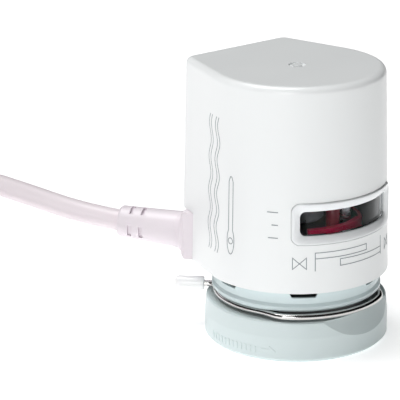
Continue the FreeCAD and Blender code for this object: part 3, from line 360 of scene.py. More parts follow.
# ---------------------------------------------------------------------------- finishes
@dataclass(frozen=True)
class Finish:
    """A surface with a main tone, a second tone, a gloss range, a fine grain and, where set, painted shade on its
    inside.
    """

    name: str
    colour: tuple[float, float, float]
    second: tuple[float, float, float]
    gloss: tuple[float, float] = (0.3, 0.4)
    drift_scale: float = 45.0
    drift_amount: float = 0.5
    grain_scale: float = 1400.0
    grain_depth: float = 0.00001
    grain_pits: float = 0.3
    metallic: float = 0.0
    coat: float = 0.0
    coat_roughness: float = 0.15
    bump_strength: float = 0.6
    stretch: tuple[float, float, float] = (1.0, 1.0, 1.0)
    # Painted shade: within this radius and below this top, the colour turns to the shade colour, standing for the
    # shade inside a shell.
    painted_shade_radius: float = 0.0
    painted_shade_top: float = 1.0
    inner_colour: tuple[float, float, float] = (0.02, 0.022, 0.025)

    def coordinate(self, nodes: bpy.types.Nodes, links: bpy.types.NodeLinks) -> bpy.types.NodeSocket:
        """Adds object coordinates, stretched where the grain runs one way.

        Args:
            nodes: Nodes of the material.
            links: Links of the material.

        Returns:
            The vector socket.
        """
        place = nodes.new("ShaderNodeTexCoord")
        mapping = nodes.new("ShaderNodeMapping")
        mapping.inputs["Scale"].default_value = self.stretch
        links.new(place.outputs["Object"], mapping.inputs["Vector"])
        return mapping.outputs["Vector"]

    def build(self) -> bpy.types.Material:
        """Makes the material.

        Returns:
            The node-based material.
        """
        material = bpy.data.materials.new(self.name)
        material.use_nodes = True
        nodes, links = material.node_tree.nodes, material.node_tree.links
        shader = nodes["Principled BSDF"]
        vector = self.coordinate(nodes, links)
        drift = nodes.new("ShaderNodeGroup")
        drift.node_tree = GROUPS.drift()
        drift.inputs["Scale"].default_value = self.drift_scale
        drift.inputs["Amount"].default_value = self.drift_amount
        drift.inputs["Colour"].default_value = (*self.colour, 1.0)
        drift.inputs["Other Colour"].default_value = (*self.second, 1.0)
        gloss = nodes.new("ShaderNodeGroup")
        gloss.node_tree = GROUPS.gloss()
        gloss.inputs["Low"].default_value = self.gloss[0]
        gloss.inputs["High"].default_value = self.gloss[1]
        grain = nodes.new("ShaderNodeGroup")
        grain.node_tree = GROUPS.grain()
        grain.inputs["Scale"].default_value = self.grain_scale
        grain.inputs["Pits"].default_value = self.grain_pits
        bump = nodes.new("ShaderNodeBump")
        bump.inputs["Strength"].default_value = self.bump_strength
        bump.inputs["Distance"].default_value = self.grain_depth
        for group in (drift, gloss, grain):
            links.new(vector, group.inputs["Vector"])
        links.new(self.shaded(nodes, links, drift.outputs["Colour"]), shader.inputs["Base Color"])
        links.new(gloss.outputs["Roughness"], shader.inputs["Roughness"])
        links.new(grain.outputs["Height"], bump.inputs["Height"])
        links.new(bump.outputs["Normal"], shader.inputs["Normal"])
        self.dress(shader)
        return material

    def shaded(
        self, nodes: bpy.types.Nodes, links: bpy.types.NodeLinks, colour: bpy.types.NodeSocket
    ) -> bpy.types.NodeSocket:
        """Adds the painted shade on the inside of a shell, where the finish has one.

        Args:
            nodes: Nodes of the material.
            links: Links of the material.
            colour: The outside colour's socket.

        Returns:
            The socket to colour the surface with.
        """
        if self.painted_shade_radius == 0.0:
            return colour
        shade = nodes.new("ShaderNodeGroup")
        shade.node_tree = GROUPS.painted_inner_shade()
        place = nodes.new("ShaderNodeTexCoord")
        shade.inputs["Radius"].default_value = self.painted_shade_radius
        shade.inputs["Top"].default_value = self.painted_shade_top
        shade.inputs["Painted Shade Colour"].default_value = (*self.inner_colour, 1.0)
        links.new(place.outputs["Object"], shade.inputs["Vector"])
        links.new(colour, shade.inputs["Colour"])
        return shade.outputs["Colour"]

    def dress(self, shader: bpy.types.ShaderNode) -> None:
        """Sets the values that are the same all over.

        Args:
            shader: The material's main shader.
        """
        shader.inputs["Metallic"].default_value = self.metallic
        shader.inputs["Coat Weight"].default_value = self.coat
        shader.inputs["Coat Roughness"].default_value = self.coat_roughness


@dataclass(frozen=True)
class ClearFinish(Finish):
    """A clear moulding that lets light through."""

    index: float = 1.15

    def dress(self, shader: bpy.types.ShaderNode) -> None:
        """Sets the values of a clear plastic.

        Args:
            shader: The material's main shader.
        """
        shader.inputs["Metallic"].default_value = 0.0
        shader.inputs["Transmission Weight"].default_value = 1.0
        shader.inputs["IOR"].default_value = self.index


@dataclass(frozen=True)
class IndicatorFinish(Finish):
    """A red moulding with painted shade on its post and a near-black painted shadow below its disc's top."""

    # Painted shade on the post: within this radius the red is darkened.
    post_shade_radius: float = 0.0137
    post_shade_colour: tuple[float, float, float] = (0.22, 0.004, 0.02)

    def shaded(
        self, nodes: bpy.types.Nodes, links: bpy.types.NodeLinks, colour: bpy.types.NodeSocket
    ) -> bpy.types.NodeSocket:
        """Paints shade on the post first, then the near-black shadow below the disc's top.

        Args:
            nodes: Nodes of the material.
            links: Links of the material.
            colour: The strip's colour socket.

        Returns:
            The socket to colour the surface with.
        """
        post = nodes.new("ShaderNodeGroup")
        post.node_tree = GROUPS.painted_inner_shade()
        place = nodes.new("ShaderNodeTexCoord")
        post.inputs["Radius"].default_value = self.post_shade_radius
        post.inputs["Painted Shade Colour"].default_value = (*self.post_shade_colour, 1.0)
        links.new(place.outputs["Object"], post.inputs["Vector"])
        links.new(colour, post.inputs["Colour"])
        return super().shaded(nodes, links, post.outputs["Colour"])


@dataclass
class FinishSet:
    """Every finish of the head, by slot name."""

    made: dict[str, bpy.types.Material] = field(default_factory=dict)

    def add(self, slot: str, finish: Finish) -> None:
        """Builds a finish and files it under a slot.

        Args:
            slot: The slot's name.
            finish: The finish to build.
        """
        self.made[slot] = finish.build()

    def build(self) -> None:
        """Builds the finishes of all the slots."""
        shadow = (0.03, 0.035, 0.04)
        half_shadow = (0.3, 0.36, 0.38)
        vent_shadow = (0.008, 0.009, 0.01)
        plain: dict[str, Finish] = {
            # The housing's inside is painted mid grey: painted shade, seen through the window.
            "housing_plastic": Finish(
                "housing_white", (0.9, 0.92, 0.92), (0.88, 0.905, 0.91), (0.3, 0.36), coat=0.2,
                grain_depth=0.000006, painted_shade_radius=0.01872, painted_shade_top=0.0598, inner_colour=half_shadow,
            ),
            "grip_plastic": Finish("grip_white", (0.9, 0.9, 0.9), (0.87, 0.88, 0.89), (0.2, 0.3), coat=0.3),
            "nut_plastic": Finish(
                "nut_grey", (0.66, 0.74, 0.74), (0.6, 0.7, 0.71), (0.3, 0.42), coat=0.1, drift_amount=0.7
            ),
            # The collar's inside is painted near black: painted shade in the vents and the bore, over an inside that
            # is taken to be dark plastic as well.
            "base_plastic": Finish(
                "collar_grey", (0.62, 0.72, 0.73), (0.58, 0.68, 0.7), (0.28, 0.4), coat=0.15,
                painted_shade_radius=0.0178, inner_colour=vent_shadow,
            ),
            "grommet_plastic": Finish(
                "grommet_white", (0.82, 0.76, 0.8), (0.74, 0.68, 0.73), (0.34, 0.48), drift_scale=120.0
            ),
            "cable_sheath": Finish(
                "sheath_white", (0.84, 0.77, 0.8), (0.78, 0.7, 0.75), (0.34, 0.48),
                drift_scale=90.0, grain_depth=0.00002,
            ),
            "clear_lens": ClearFinish(
                "lens_clear", (0.97, 0.98, 0.99), (0.93, 0.96, 0.98), (0.03, 0.08), grain_depth=0.000002
            ),
            "lens_border": Finish("lens_border_white", (0.86, 0.88, 0.89), (0.8, 0.84, 0.86), (0.18, 0.28), coat=0.5),
            # The red parts get painted shade on the post and a near-black painted shadow below the disc's top.
            "red_plastic": IndicatorFinish(
                "indicator_red", (0.98, 0.015, 0.12), (0.9, 0.01, 0.08), (0.3, 0.42), coat=0.1,
                painted_shade_radius=0.0134, painted_shade_top=0.02705, inner_colour=shadow,
            ),
            "element_metal": Finish(
                "element_satin", (0.8, 0.85, 0.88), (0.7, 0.75, 0.78), (0.4, 0.5), metallic=0.15
            ),
            "black_plastic": Finish("black_plastic", (0.02, 0.022, 0.024), (0.035, 0.037, 0.04), (0.4, 0.55)),
            "steel": Finish(
                "turned_steel", (0.5, 0.52, 0.54), (0.38, 0.4, 0.42), (0.2, 0.34), metallic=1.0, stretch=(1, 1, 12)
            ),
            "spring_steel": Finish(
                "spring_wire", (0.62, 0.61, 0.6), (0.45, 0.44, 0.43), (0.1, 0.2), metallic=1.0, grain_depth=0.000003
            ),
            "contact_metal": Finish(
                "contact_bronze", (0.6, 0.38, 0.2), (0.48, 0.3, 0.15), (0.22, 0.36), metallic=1.0
            ),
            "ceramic": Finish(
                "heater_ceramic", (0.32, 0.28, 0.24), (0.25, 0.21, 0.18), (0.6, 0.75), grain_depth=0.00004
            ),
            "tie_plastic": Finish("tie_white", (0.75, 0.76, 0.77), (0.65, 0.67, 0.69), (0.35, 0.5)),
            "core_brown": Finish("core_brown", (0.14, 0.05, 0.02), (0.1, 0.035, 0.015), (0.35, 0.48)),
            "core_blue": Finish("core_blue", (0.02, 0.1, 0.42), (0.015, 0.07, 0.3), (0.35, 0.48)),
            "ferrule_metal": Finish(
                "ferrule_tin", (0.66, 0.67, 0.68), (0.55, 0.56, 0.58), (0.25, 0.4), metallic=1.0
            ),
            # The engraved marks are grey strips: painted shade standing for the engraved grooves.
            "groove_shade_grey": Finish("engraved_groove_shade", (0.24, 0.27, 0.29), (0.3, 0.33, 0.35), (0.5, 0.65)),
            "floor": FloorFinish(
                "studio_floor", (0.93, 0.93, 0.93), (0.9, 0.9, 0.9), (0.6, 0.7), drift_scale=3.0, grain_depth=0.00001
            ),
        }
        for slot, finish in plain.items():
            self.add(slot, finish)

    def __getitem__(self, slot: str) -> bpy.types.Material:
        """The material filed under a slot."""
        return self.made[slot]


def dress_cad_nodes(finishes: FinishSet) -> int:
    """Gives every node of the model the finish of its slot.

    Args:
        finishes: The built finishes.

    Returns:
        How many nodes were dressed.
    """
    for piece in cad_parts.values():
        for place in piece.material_slots:
            slot = place.material.name.split(".")[0]
            place.material = finishes["element_metal" if piece.name == "wax_element" else slot]
    return len(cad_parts)


# -------------------------------------------------------------------------- the camera
@dataclass(frozen=True)
class StudioCamera:
    """The camera's place, direction, turn and lens."""

    place: tuple[float, float, float] = (-0.3282, -0.3870, 0.1967)
    forward: tuple[float, float, float] = (0.58364, 0.75014, -0.31089)
    roll: float = -0.008
    lens: float = 216.4
    sensor: float = 36.0

    def build(self) -> bpy.types.Object:
        """Makes the camera and gives it to the scene.

        Returns:
            The camera.
        """
        ahead = Vector(self.forward).normalized()
        across = ahead.cross(Vector((0, 0, 1))).normalized()
        upward = across.cross(ahead)
        right = (across + self.roll * upward).normalized()
        top = (upward - self.roll * across).normalized()
        data = bpy.data.cameras.new("studio_camera")
        data.lens = self.lens
        data.sensor_width = self.sensor
        data.clip_start = 0.01
        data.clip_end = 10.0
        camera = bpy.data.objects.new("studio_camera", data)
        turn = Matrix((right, top, -ahead)).transposed().to_4x4()
        camera.matrix_world = Matrix.Translation(self.place) @ turn
        bpy.context.scene.collection.objects.link(camera)
        bpy.context.scene.camera = camera
        return camera


# --------------------------------------------------------------------------- the cable
@dataclass
class SupplyCable:
    """The free cable: its route, its stored coil, its tie and its bared cores."""

    finishes: FinishSet
    radius: float = 0.00245
    real_length: float = 1.0
    start: tuple[float, float, float] = (-23.59, 34.14, 22.09)
    route: tuple[tuple[float, float, float], ...] = (
        (-29.4, 41.7, 23.3),
        (-36.4, 50.0, 26.5),
        (-44.8, 58.2, 30.2),
        (-54.9, 64.9, 32.2),
        (-66.4, 69.3, 30.4),
        (-78.6, 70.4, 25.6),
        (-90.6, 69.2, 20.2),
        (-101.9, 65.6, 15.6),
        (-110.9, 58.2, 12.9),
    )
    coil_centre: tuple[float, float] = (-92.0, 42.0)
    slots: tuple[tuple[float, float], ...] = (
        (27.45, 12.25),
        (22.55, 12.25),
        (22.55, 7.35),
        (27.45, 7.35),
        (27.45, 2.45),
        (22.55, 2.45),
    )
    join_turn: float = 158.0
    window: float = 40.0
    step: float = 20.0
    end_turn: float = 1840.0
    core_radius: float = 0.00095
    core_aside: float = 1.1
    core_height: float = 0.95
    core_lead: float = 4.0
    core_run: float = 3.0
    brown_meet: tuple[float, float] = (-98.13, 29.51)
    brown_heading: float = 340.0
    blue_meet: tuple[float, float] = (-97.1, 26.28)
    blue_heading: float = 338.0
    tie_turn: float = 250.0
    tie_bottom: float = 0.0002
    tie_over: float = 0.0004
    tie_reach: float = 0.025
    tie_half: float = 0.0053
    tie_trim: float = 0.0003
    tie_half_width: float = 1.8
    tie_thickness: float = 0.5
    tie_bow: float = 0.6
    tie_corner: float = 0.45
    tie_steps: int = 48

    def slot_at(self, turn: float) -> tuple[float, float]:
        """The coil slot at a turn, with each move made in a window of its own.

        Args:
            turn: Degrees wound since the cable joined the coil.

        Returns:
            The radius and height in millimetres.
        """
        for number in range(1, len(self.slots)):
            leave = 360.0 * number - self.window * number
            if turn < leave:
                return self.slots[number - 1]
            if turn < leave + self.window:
                share = (turn - leave) / self.window
                ease = share * share * (3 - 2 * share)
                low, high = self.slots[number - 1], self.slots[number]
                return (low[0] + ease * (high[0] - low[0]), low[1] + ease * (high[1] - low[1]))
        return self.slots[-1]

    def coil_point(self, turn: float) -> tuple[float, float, float]:
        """A control point of the coil.

        Args:
            turn: Degrees wound since the cable joined the coil.

        Returns:
            The point in millimetres.
        """
        radius, height = self.slot_at(turn)
        reach = radius / math.cos(math.radians(self.step / 2)) ** 0.5
        angle = math.radians(self.join_turn + turn)
        return (
            self.coil_centre[0] + reach * math.cos(angle),
            self.coil_centre[1] + reach * math.sin(angle),
            height,
        )

    def points(self) -> list[Vector]:
        """The control points of the whole cable.

        Returns:
            The points in metres.
        """
        coil = []
        turn = 0.0
        while turn <= self.end_turn:
            coil.append(self.coil_point(turn))
            turn += self.step
        return [Vector(point) * MM for point in (self.start, *self.route, *coil)]

    def curve(self, name: str, points: Sequence[Vector], radius: float, slot: str) -> bpy.types.Object:
        """Makes a round cord along a spline.

        Args:
            name: Name of the piece.
            points: Control points in metres.
            radius: Radius of the cord in metres.
            slot: Slot of its finish.

        Returns:
            The curve object.
        """
        data = bpy.data.curves.new(name, "CURVE")
        data.dimensions = "3D"
        data.bevel_depth = radius
        data.bevel_resolution = 6
        data.resolution_u = 6
        data.use_fill_caps = True
        spline = data.splines.new("NURBS")
        spline.points.add(len(points) - 1)
        for place, point in zip(spline.points, points):
            place.co = (*point, 1.0)
        spline.order_u = 3
        spline.use_endpoint_u = True
        data.materials.append(self.finishes[slot])
        piece = bpy.data.objects.new(name, data)
        bpy.context.scene.collection.objects.link(piece)
        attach(piece, Body.BASE.value)
        return piece

    def length(self, piece: bpy.types.Object) -> float:
        """The length of a spline's own line.

        Args:
            piece: A curve object.

        Returns:
            The length in metres.
        """
        bare = piece.data.copy()
        bare.bevel_depth = 0.0
        holder = bpy.data.objects.new("measured_line", bare)
        mesh = bpy.data.meshes.new_from_object(holder)
        spots = [vertex.co.copy() for vertex in mesh.vertices]
        total = sum((after - before).length for before, after in zip(spots, spots[1:]))
        bpy.data.objects.remove(holder)
        bpy.data.meshes.remove(mesh)
        bpy.data.curves.remove(bare)
        return total

    def build_tie(self) -> bpy.types.Object:
        """Makes the band that holds the coil's turns together.

        Returns:
            The band, which stands for the model's tie.
        """
        bottom, top = self.tie_bottom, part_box("cable_coil")[1].z + self.tie_over
        middle_z = (bottom + top) / 2
        half_z = (top - bottom) / 2
        centre = Vector((*self.coil_centre, 0.0)) * MM
        angle = math.radians(self.tie_turn)
        outward = Vector((math.cos(angle), math.sin(angle), 0.0))
        along = Vector((-outward.y, outward.x, 0.0))
        side, thick_side = self.tie_half_width, self.tie_thickness
        rings = []
        for k in range(self.tie_steps):
            turn = 2 * math.pi * k / self.tie_steps
            x = math.copysign(abs(math.cos(turn)) ** self.tie_corner, math.cos(turn))
            z = math.copysign(abs(math.sin(turn)) ** self.tie_corner, math.sin(turn))
            ring = []
            for wide, thick in ((-side, 0.0), (side, 0.0), (side, thick_side), (-side, thick_side)):
                spread = 1.0 + thick * MM / half_z * self.tie_bow
                reach = self.tie_reach + self.tie_half * x * spread
                grow = 1.0 if thick == 0 else 1.0 + self.tie_trim / half_z
                height = middle_z + (half_z - self.tie_trim) * z * grow
                ring.append(centre + outward * reach + along * wide * MM + Vector((0, 0, height)))
            rings.append(ring)
        points, faces = loft(rings, True, False)
        piece = mesh_piece("coil_tie_band", points, faces, self.finishes["tie_plastic"], Body.BASE)
        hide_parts("coil_tie")
        return piece

    def build_core(self, colour: str, aside: float, meet: tuple[float, float], heading: float) -> bpy.types.Object:
        """Makes one bared core, from the end face of the sheath to its ferrule.

        Args:
            colour: Name of the core's colour.
            aside: Millimetres towards the coil's middle at the sheath.
            meet: Where the ferrule starts, in millimetres.
            heading: Direction of the ferrule in degrees.

        Returns:
            The core, which stands for the model's core.
        """
        radius, height = self.slot_at(self.end_turn)
        angle = math.radians(self.join_turn + self.end_turn)
        outward = Vector((math.cos(angle), math.sin(angle), 0.0))
        forward = Vector((-outward.y, outward.x, 0.0))
        end = Vector((*self.coil_centre, height)) + outward * (radius - aside)
        toward = Vector((math.cos(math.radians(heading)), math.sin(math.radians(heading)), 0.0))
        goal = Vector((*meet, self.core_height))
        bend = end + forward * self.core_lead
        bend.z = (height + self.core_height) / 2
        line = (end - forward, end, bend, goal - toward * self.core_run, goal)
        slot = f"core_{colour}"
        piece = self.curve(f"bared_core_{colour}", [point * MM for point in line], self.core_radius, slot)
        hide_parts(f"tail_core_{colour}")
        return piece

    def build(self) -> float:
        """Returns:
            The cable's length in metres.
        """
        points = self.points()
        cable = self.curve("supply_cable", points, self.radius, "cable_sheath")
        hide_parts("cable_tube", "cable_coil")
        total = self.length(cable)
        tie = self.build_tie()
        brown = self.build_core("brown", self.core_aside, self.brown_meet, self.brown_heading)
        blue = self.build_core("blue", -self.core_aside, self.blue_meet, self.blue_heading)
        return total


# --------------------------------------------------------------------- the housing wall
@dataclass(frozen=True)
class HousingWall:
    """The outside of the housing, as a place that marks are laid on."""

    radius: float
    bottom: float
    draft: float = 1.25
    side_turn: float = 105.0

    def point(self, turn: float, height: float, lift: float = 0.0) -> Vector:
        """A point on or above the wall.

        Args:
            turn: Degrees round from the middle of the window, right positive.
            height: Height in millimetres.
            lift: Millimetres out from the wall.

        Returns:
            The point in metres.
        """
        reach = self.radius - (height - self.bottom) * math.tan(math.radians(self.draft)) + lift
        edge = max(-self.side_turn, min(self.side_turn, turn))
        angle = math.radians(edge)
        x, y = reach * math.sin(angle), -reach * math.cos(angle)
        past = math.radians(abs(turn) - abs(edge)) * self.radius
        sign = math.copysign(1.0, turn)
        x += sign * math.cos(math.radians(self.side_turn)) * past
        y += math.sin(math.radians(self.side_turn)) * past
        return Vector((x, y, height)) * MM

    def ribbon(
        self,
        path: Sequence[tuple[float, float]],
        width: float,
        kind: MarkKind = MarkKind.OPEN,
        proud: float = 0.03,
        sunk: float = 0.12,
    ) -> tuple[list[Vector], list[list[int]]]:
        """A fine closed strip along a path on the wall.

        Args:
            path: Turn in degrees and height in millimetres of each point.
            width: Width of the strip in millimetres.
            kind: Whether the path closes on itself.
            proud: How far the strip stands out of the wall.
            sunk: How far it reaches into the wall.

        Returns:
            The points and faces of the strip.
        """
        scale = math.radians(1.0) * self.radius
        flat = [Vector((turn * scale, height)) for turn, height in path]
        if kind is MarkKind.LOOP:
            flat.append(flat[0])
        fine = [flat[0]]
        for start, end in zip(flat, flat[1:]):
            parts = max(1, math.ceil((end - start).length / 0.5))
            fine += [start.lerp(end, k / parts) for k in range(1, parts + 1)]
        if kind is MarkKind.LOOP:
            fine.pop()
        count = len(fine)
        rings = []
        for k, spot in enumerate(fine):
            before = fine[k - 1] if k or kind is MarkKind.LOOP else spot
            after = fine[(k + 1) % count] if k < count - 1 or kind is MarkKind.LOOP else spot
            arrive, leave = spot - before, after - spot
            arrive = arrive.normalized() if arrive.length else leave.normalized()
            leave = leave.normalized() if leave.length else arrive
            along = (arrive + leave).normalized()
            side = Vector((-along.y, along.x))
            reach = width / 2 / max(0.5, side.dot(Vector((-leave.y, leave.x))))
            ring = []
            for sign, lift in ((1, proud), (-1, proud), (-1, -sunk), (1, -sunk)):
                place = spot + side * reach * sign
                ring.append(self.point(place.x / scale, place.y, lift))
            rings.append(ring)
        return loft(rings, kind is MarkKind.LOOP, kind is MarkKind.OPEN)


@dataclass
class EngravedMarks:
    """Thin grey strips on the housing, painted shade that stands for engraved grooves: scale ticks, position bars and
    plain symbols.
    """

    wall: HousingWall
    finishes: FinishSet
    line: float = 0.17
    tick: float = 0.2

    def add(
        self,
        name: str,
        paths: Iterable[tuple[Sequence[tuple[float, float]], MarkKind]],
        width: float,
    ) -> None:
        """Makes one piece of several strips.

        Args:
            name: Name of the piece.
            paths: Each strip's path and kind.
            width: Width of the strips in millimetres.
        """
        points: list[Vector] = []
        faces: list[list[int]] = []
        for path, kind in paths:
            more, sides = self.wall.ribbon(path, width, kind)
            faces += [[len(points) + k for k in side] for side in sides]
            points += more
        # The strips are grey: painted shade standing for the engraved grooves.
        piece = mesh_piece(name, points, faces, self.finishes["groove_shade_grey"], Body.BASE, smooth=False)

    def wave(self, turn: float, low: float, high: float, swing: float, bends: float) -> list[tuple[float, float]]:
        """A line that waves as it rises.

        Args:
            turn: Middle of the line in degrees.
            low: Lower end in millimetres.
            high: Upper end in millimetres.
            swing: Swing to each side in degrees.
            bends: How many whole waves it makes.

        Returns:
            The path.
        """
        steps = 72
        return [
            (turn + swing * math.sin(2 * math.pi * bends * k / steps), low + (high - low) * k / steps)
            for k in range(steps + 1)
        ]

    def build_ticks(self) -> None:
        """Makes the three position ticks beside the window."""
        rows = ((34.25, -58.4), (31.4, -55.5), (28.5, -57.7))
        self.add("position_ticks", [([(left, z), (-51.5, z)], MarkKind.OPEN) for z, left in rows], self.tick)

    def build_bars(self) -> None:
        """Makes the two interlocking outlined bars below the window."""
        upper = [(-28.6, 21.1), (-28.6, 25.2), (8.3, 25.25), (8.3, 23.9), (-28.6, 23.9)]
        lower = [(24.5, 25.5), (24.5, 21.3)]
        inner = [(24.5, 23.1), (-12.3, 23.3), (-12.3, 21.8), (24.5, 21.8)]
        self.add(
            "position_bars",
            [(upper, MarkKind.OPEN), (lower, MarkKind.OPEN), (inner, MarkKind.OPEN)],
            self.line,
        )

    def build_symbols(self) -> None:
        """Makes the plain valve symbols at both ends of the bars."""
        closed = [(-42.5, 21.6), (-34.0, 24.2), (-34.0, 21.6), (-42.5, 24.2)]
        opened = [(31.5, 21.6), (39.5, 24.2), (39.5, 21.6), (31.5, 24.2)]
        self.add("valve_symbols", [(closed, MarkKind.LOOP), (opened, MarkKind.LOOP)], self.line)

    def build_side_symbols(self) -> None:
        """Makes the heat lines and the thermometer on the housing's side."""
        waves = [(self.wave(turn, 22.0, 52.6, 1.6, 4.0), MarkKind.OPEN) for turn in (-110.5, -107.5, -101.5, -98.5)]
        self.add("heat_lines", waves, self.line)
        stem = [(-86.8, 28.4), (-86.8, 39.4), (-85.6, 40.5), (-84.4, 40.5), (-83.2, 39.4), (-83.2, 28.4)]
        bulb = []
        for k in range(25):
            angle = math.radians(52 - 284 * k / 24)
            bulb.append((-85.0 + 6.0 * math.cos(angle) * 0.5, 26.0 + 3.0 * math.sin(angle)))
        inner = []
        for k in range(20):
            angle = 2 * math.pi * k / 20
            inner.append((-85.0 + 1.9 * math.cos(angle), 26.0 + 0.68 * math.sin(angle)))
        self.add("thermometer", [(stem + bulb, MarkKind.LOOP), (inner, MarkKind.LOOP)], self.line)

    def build(self) -> None:
        """Makes all the marks."""
        self.build_ticks()
        self.build_bars()
        self.build_symbols()
        self.build_side_symbols()


# ---------------------------------------------------------------------------- the lens
@dataclass
class WindowLens:
    """The clear pane in its white bevelled border."""

    finishes: FinishSet
    half_turn: float = 38.0
    bottom: float = 28.9
    top: float = 34.4
    border: float = 1.92
    corner: float = 1.3
    outer_radius: float = 20.46
    seat_radius: float = 19.25
    corner_points: int = 7
    long_parts: int = 24
    short_parts: int = 3

    def outline(self, grow: float, radius: float) -> list[Vector]:
        """A rounded outline round the opening.

        Args:
            grow: Millimetres beyond the opening.
            radius: Radius of the surface it lies on.

        Returns:
            Points in metres, the same count for every outline.
        """
        scale = math.radians(1.0) * self.outer_radius
        half = self.half_turn * scale + grow
        low, high = self.bottom - grow, self.top + grow
        bend = min(self.corner + grow * 0.35, (high - low) / 2 - 0.1)
        right, upper, lower = half - bend, high - bend, low + bend
        corners = ((right, upper, 0), (-right, upper, 90), (-right, lower, 180), (right, lower, 270))
        step = 90 / (self.corner_points - 1)
        flat: list[Vector] = []
        for x, z, start in corners:
            for k in range(self.corner_points):
                angle = math.radians(start + step * k)
                flat.append(Vector((x + bend * math.cos(angle), z + bend * math.sin(angle))))
        ring: list[Vector] = []
        for number in range(len(corners)):
            first = number * self.corner_points
            ring += flat[first : first + self.corner_points]
            ahead = flat[(first + self.corner_points) % len(flat)]
            parts = self.short_parts if number % 2 else self.long_parts
            ring += [ring[-1].lerp(ahead, k / parts) for k in range(1, parts)]
        points: list[Vector] = []
        for spot in ring:
            angle = spot.x / self.outer_radius
            points.append(Vector((radius * math.sin(angle), -radius * math.cos(angle), spot.y)) * MM)
        return points

    def build_border(self) -> None:
        """Makes the bevelled frame round the opening."""
        rings = [
            self.outline(self.border, self.seat_radius + 0.05),
            self.outline(self.border, self.outer_radius - 0.25),
            self.outline(self.border - 0.18, self.outer_radius),
            self.outline(1.15, self.outer_radius - 0.02),
            self.outline(0.02, self.outer_radius - 0.75),
            self.outline(0.0, self.outer_radius - 0.95),
            self.outline(0.0, self.seat_radius),
            self.outline(1.0, self.seat_radius),
        ]
        points, faces = loft(rings, True, False)
        piece = mesh_piece("window_border", points, faces, self.finishes["lens_border"], Body.BASE)

    def build_pane(self) -> None:
        """Makes the clear pane that fills the frame."""
        rings = [
            self.outline(-0.02, self.outer_radius - 1.95),
            self.outline(-0.02, self.outer_radius - 1.05),
        ]
        count = len(rings[0])
        points, faces = loft(rings, False, False)
        for ring, flip in ((0, True), (1, False)):
            quads = self.cap(rings[ring], ring * count)
            faces += [quad[::-1] for quad in quads] if flip else quads
        piece = mesh_piece("window_pane", points, faces, self.finishes["clear_lens"], Body.BASE)
        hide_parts("window_lens")

    def cap(self, ring: Sequence[Vector], first: int) -> list[list[int]]:
        """Fills a long outline with strips across its short side.

        Args:
            ring: The outline's points.
            first: Number of the ring's first point.

        Returns:
            Faces that share the ring's points.
        """
        count = len(ring)
        strips = self.corner_points - 1 + self.long_parts
        foot = [(count - self.short_parts - k) % count for k in range(strips + 1)]
        return [[first + k, first + k + 1, first + foot[k + 1], first + foot[k]] for k in range(strips)]

    def build(self) -> None:
        """Makes the border and the pane."""
        self.build_border()
        self.build_pane()


# ----------------------------------------------------------------------------- springs
@dataclass
class CompressionSpring:
    """A wound spring, made at the length of the model's spring."""

    node: str
    slot: str
    turns: float
    finishes: FinishSet
    wire: float
    stroke: float = 0.004
    closing: float = 0.6
    per_turn: int = 36
    sides: int = 12
    wire_share: float = 0.995

    def build(self) -> bpy.types.Object:
        """Makes the spring with its end turns wound closer.

        Returns:
            The spring, which stands for the model's spring.
        """
        low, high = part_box(self.node)
        centre = (low + high) / 2
        mean = (high.x - low.x) / 2 - self.wire
        rise = high.z - low.z - 2 * self.wire
        count = round(self.turns * self.per_turn)
        line = []
        for k in range(count + 1):
            share = k / count
            ease = share - self.closing / (2 * math.pi) * math.sin(2 * math.pi * share)
            turn = 2 * math.pi * self.turns * share
            place = Vector((mean * math.cos(turn), mean * math.sin(turn), low.z + self.wire + rise * ease))
            line.append(place + Vector((centre.x, centre.y, 0.0)))
        rings = []
        for k, place in enumerate(line):
            along = (line[min(k + 1, count)] - line[max(k - 1, 0)]).normalized()
            outward = Vector((place.x - centre.x, place.y - centre.y, 0.0)).normalized()
            upward = along.cross(outward).normalized()
            rings.append(
                [
                    place + (outward * math.cos(angle) + upward * math.sin(angle)) * self.wire * self.wire_share
                    for angle in (2 * math.pi * side / self.sides for side in range(self.sides))
                ]
            )
        points, faces = loft(rings, False, True)
        piece = mesh_piece(f"{self.node}_wound", points, faces, self.finishes[self.slot], Body.BASE)
        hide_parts(self.node)
        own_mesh(piece)
        return piece


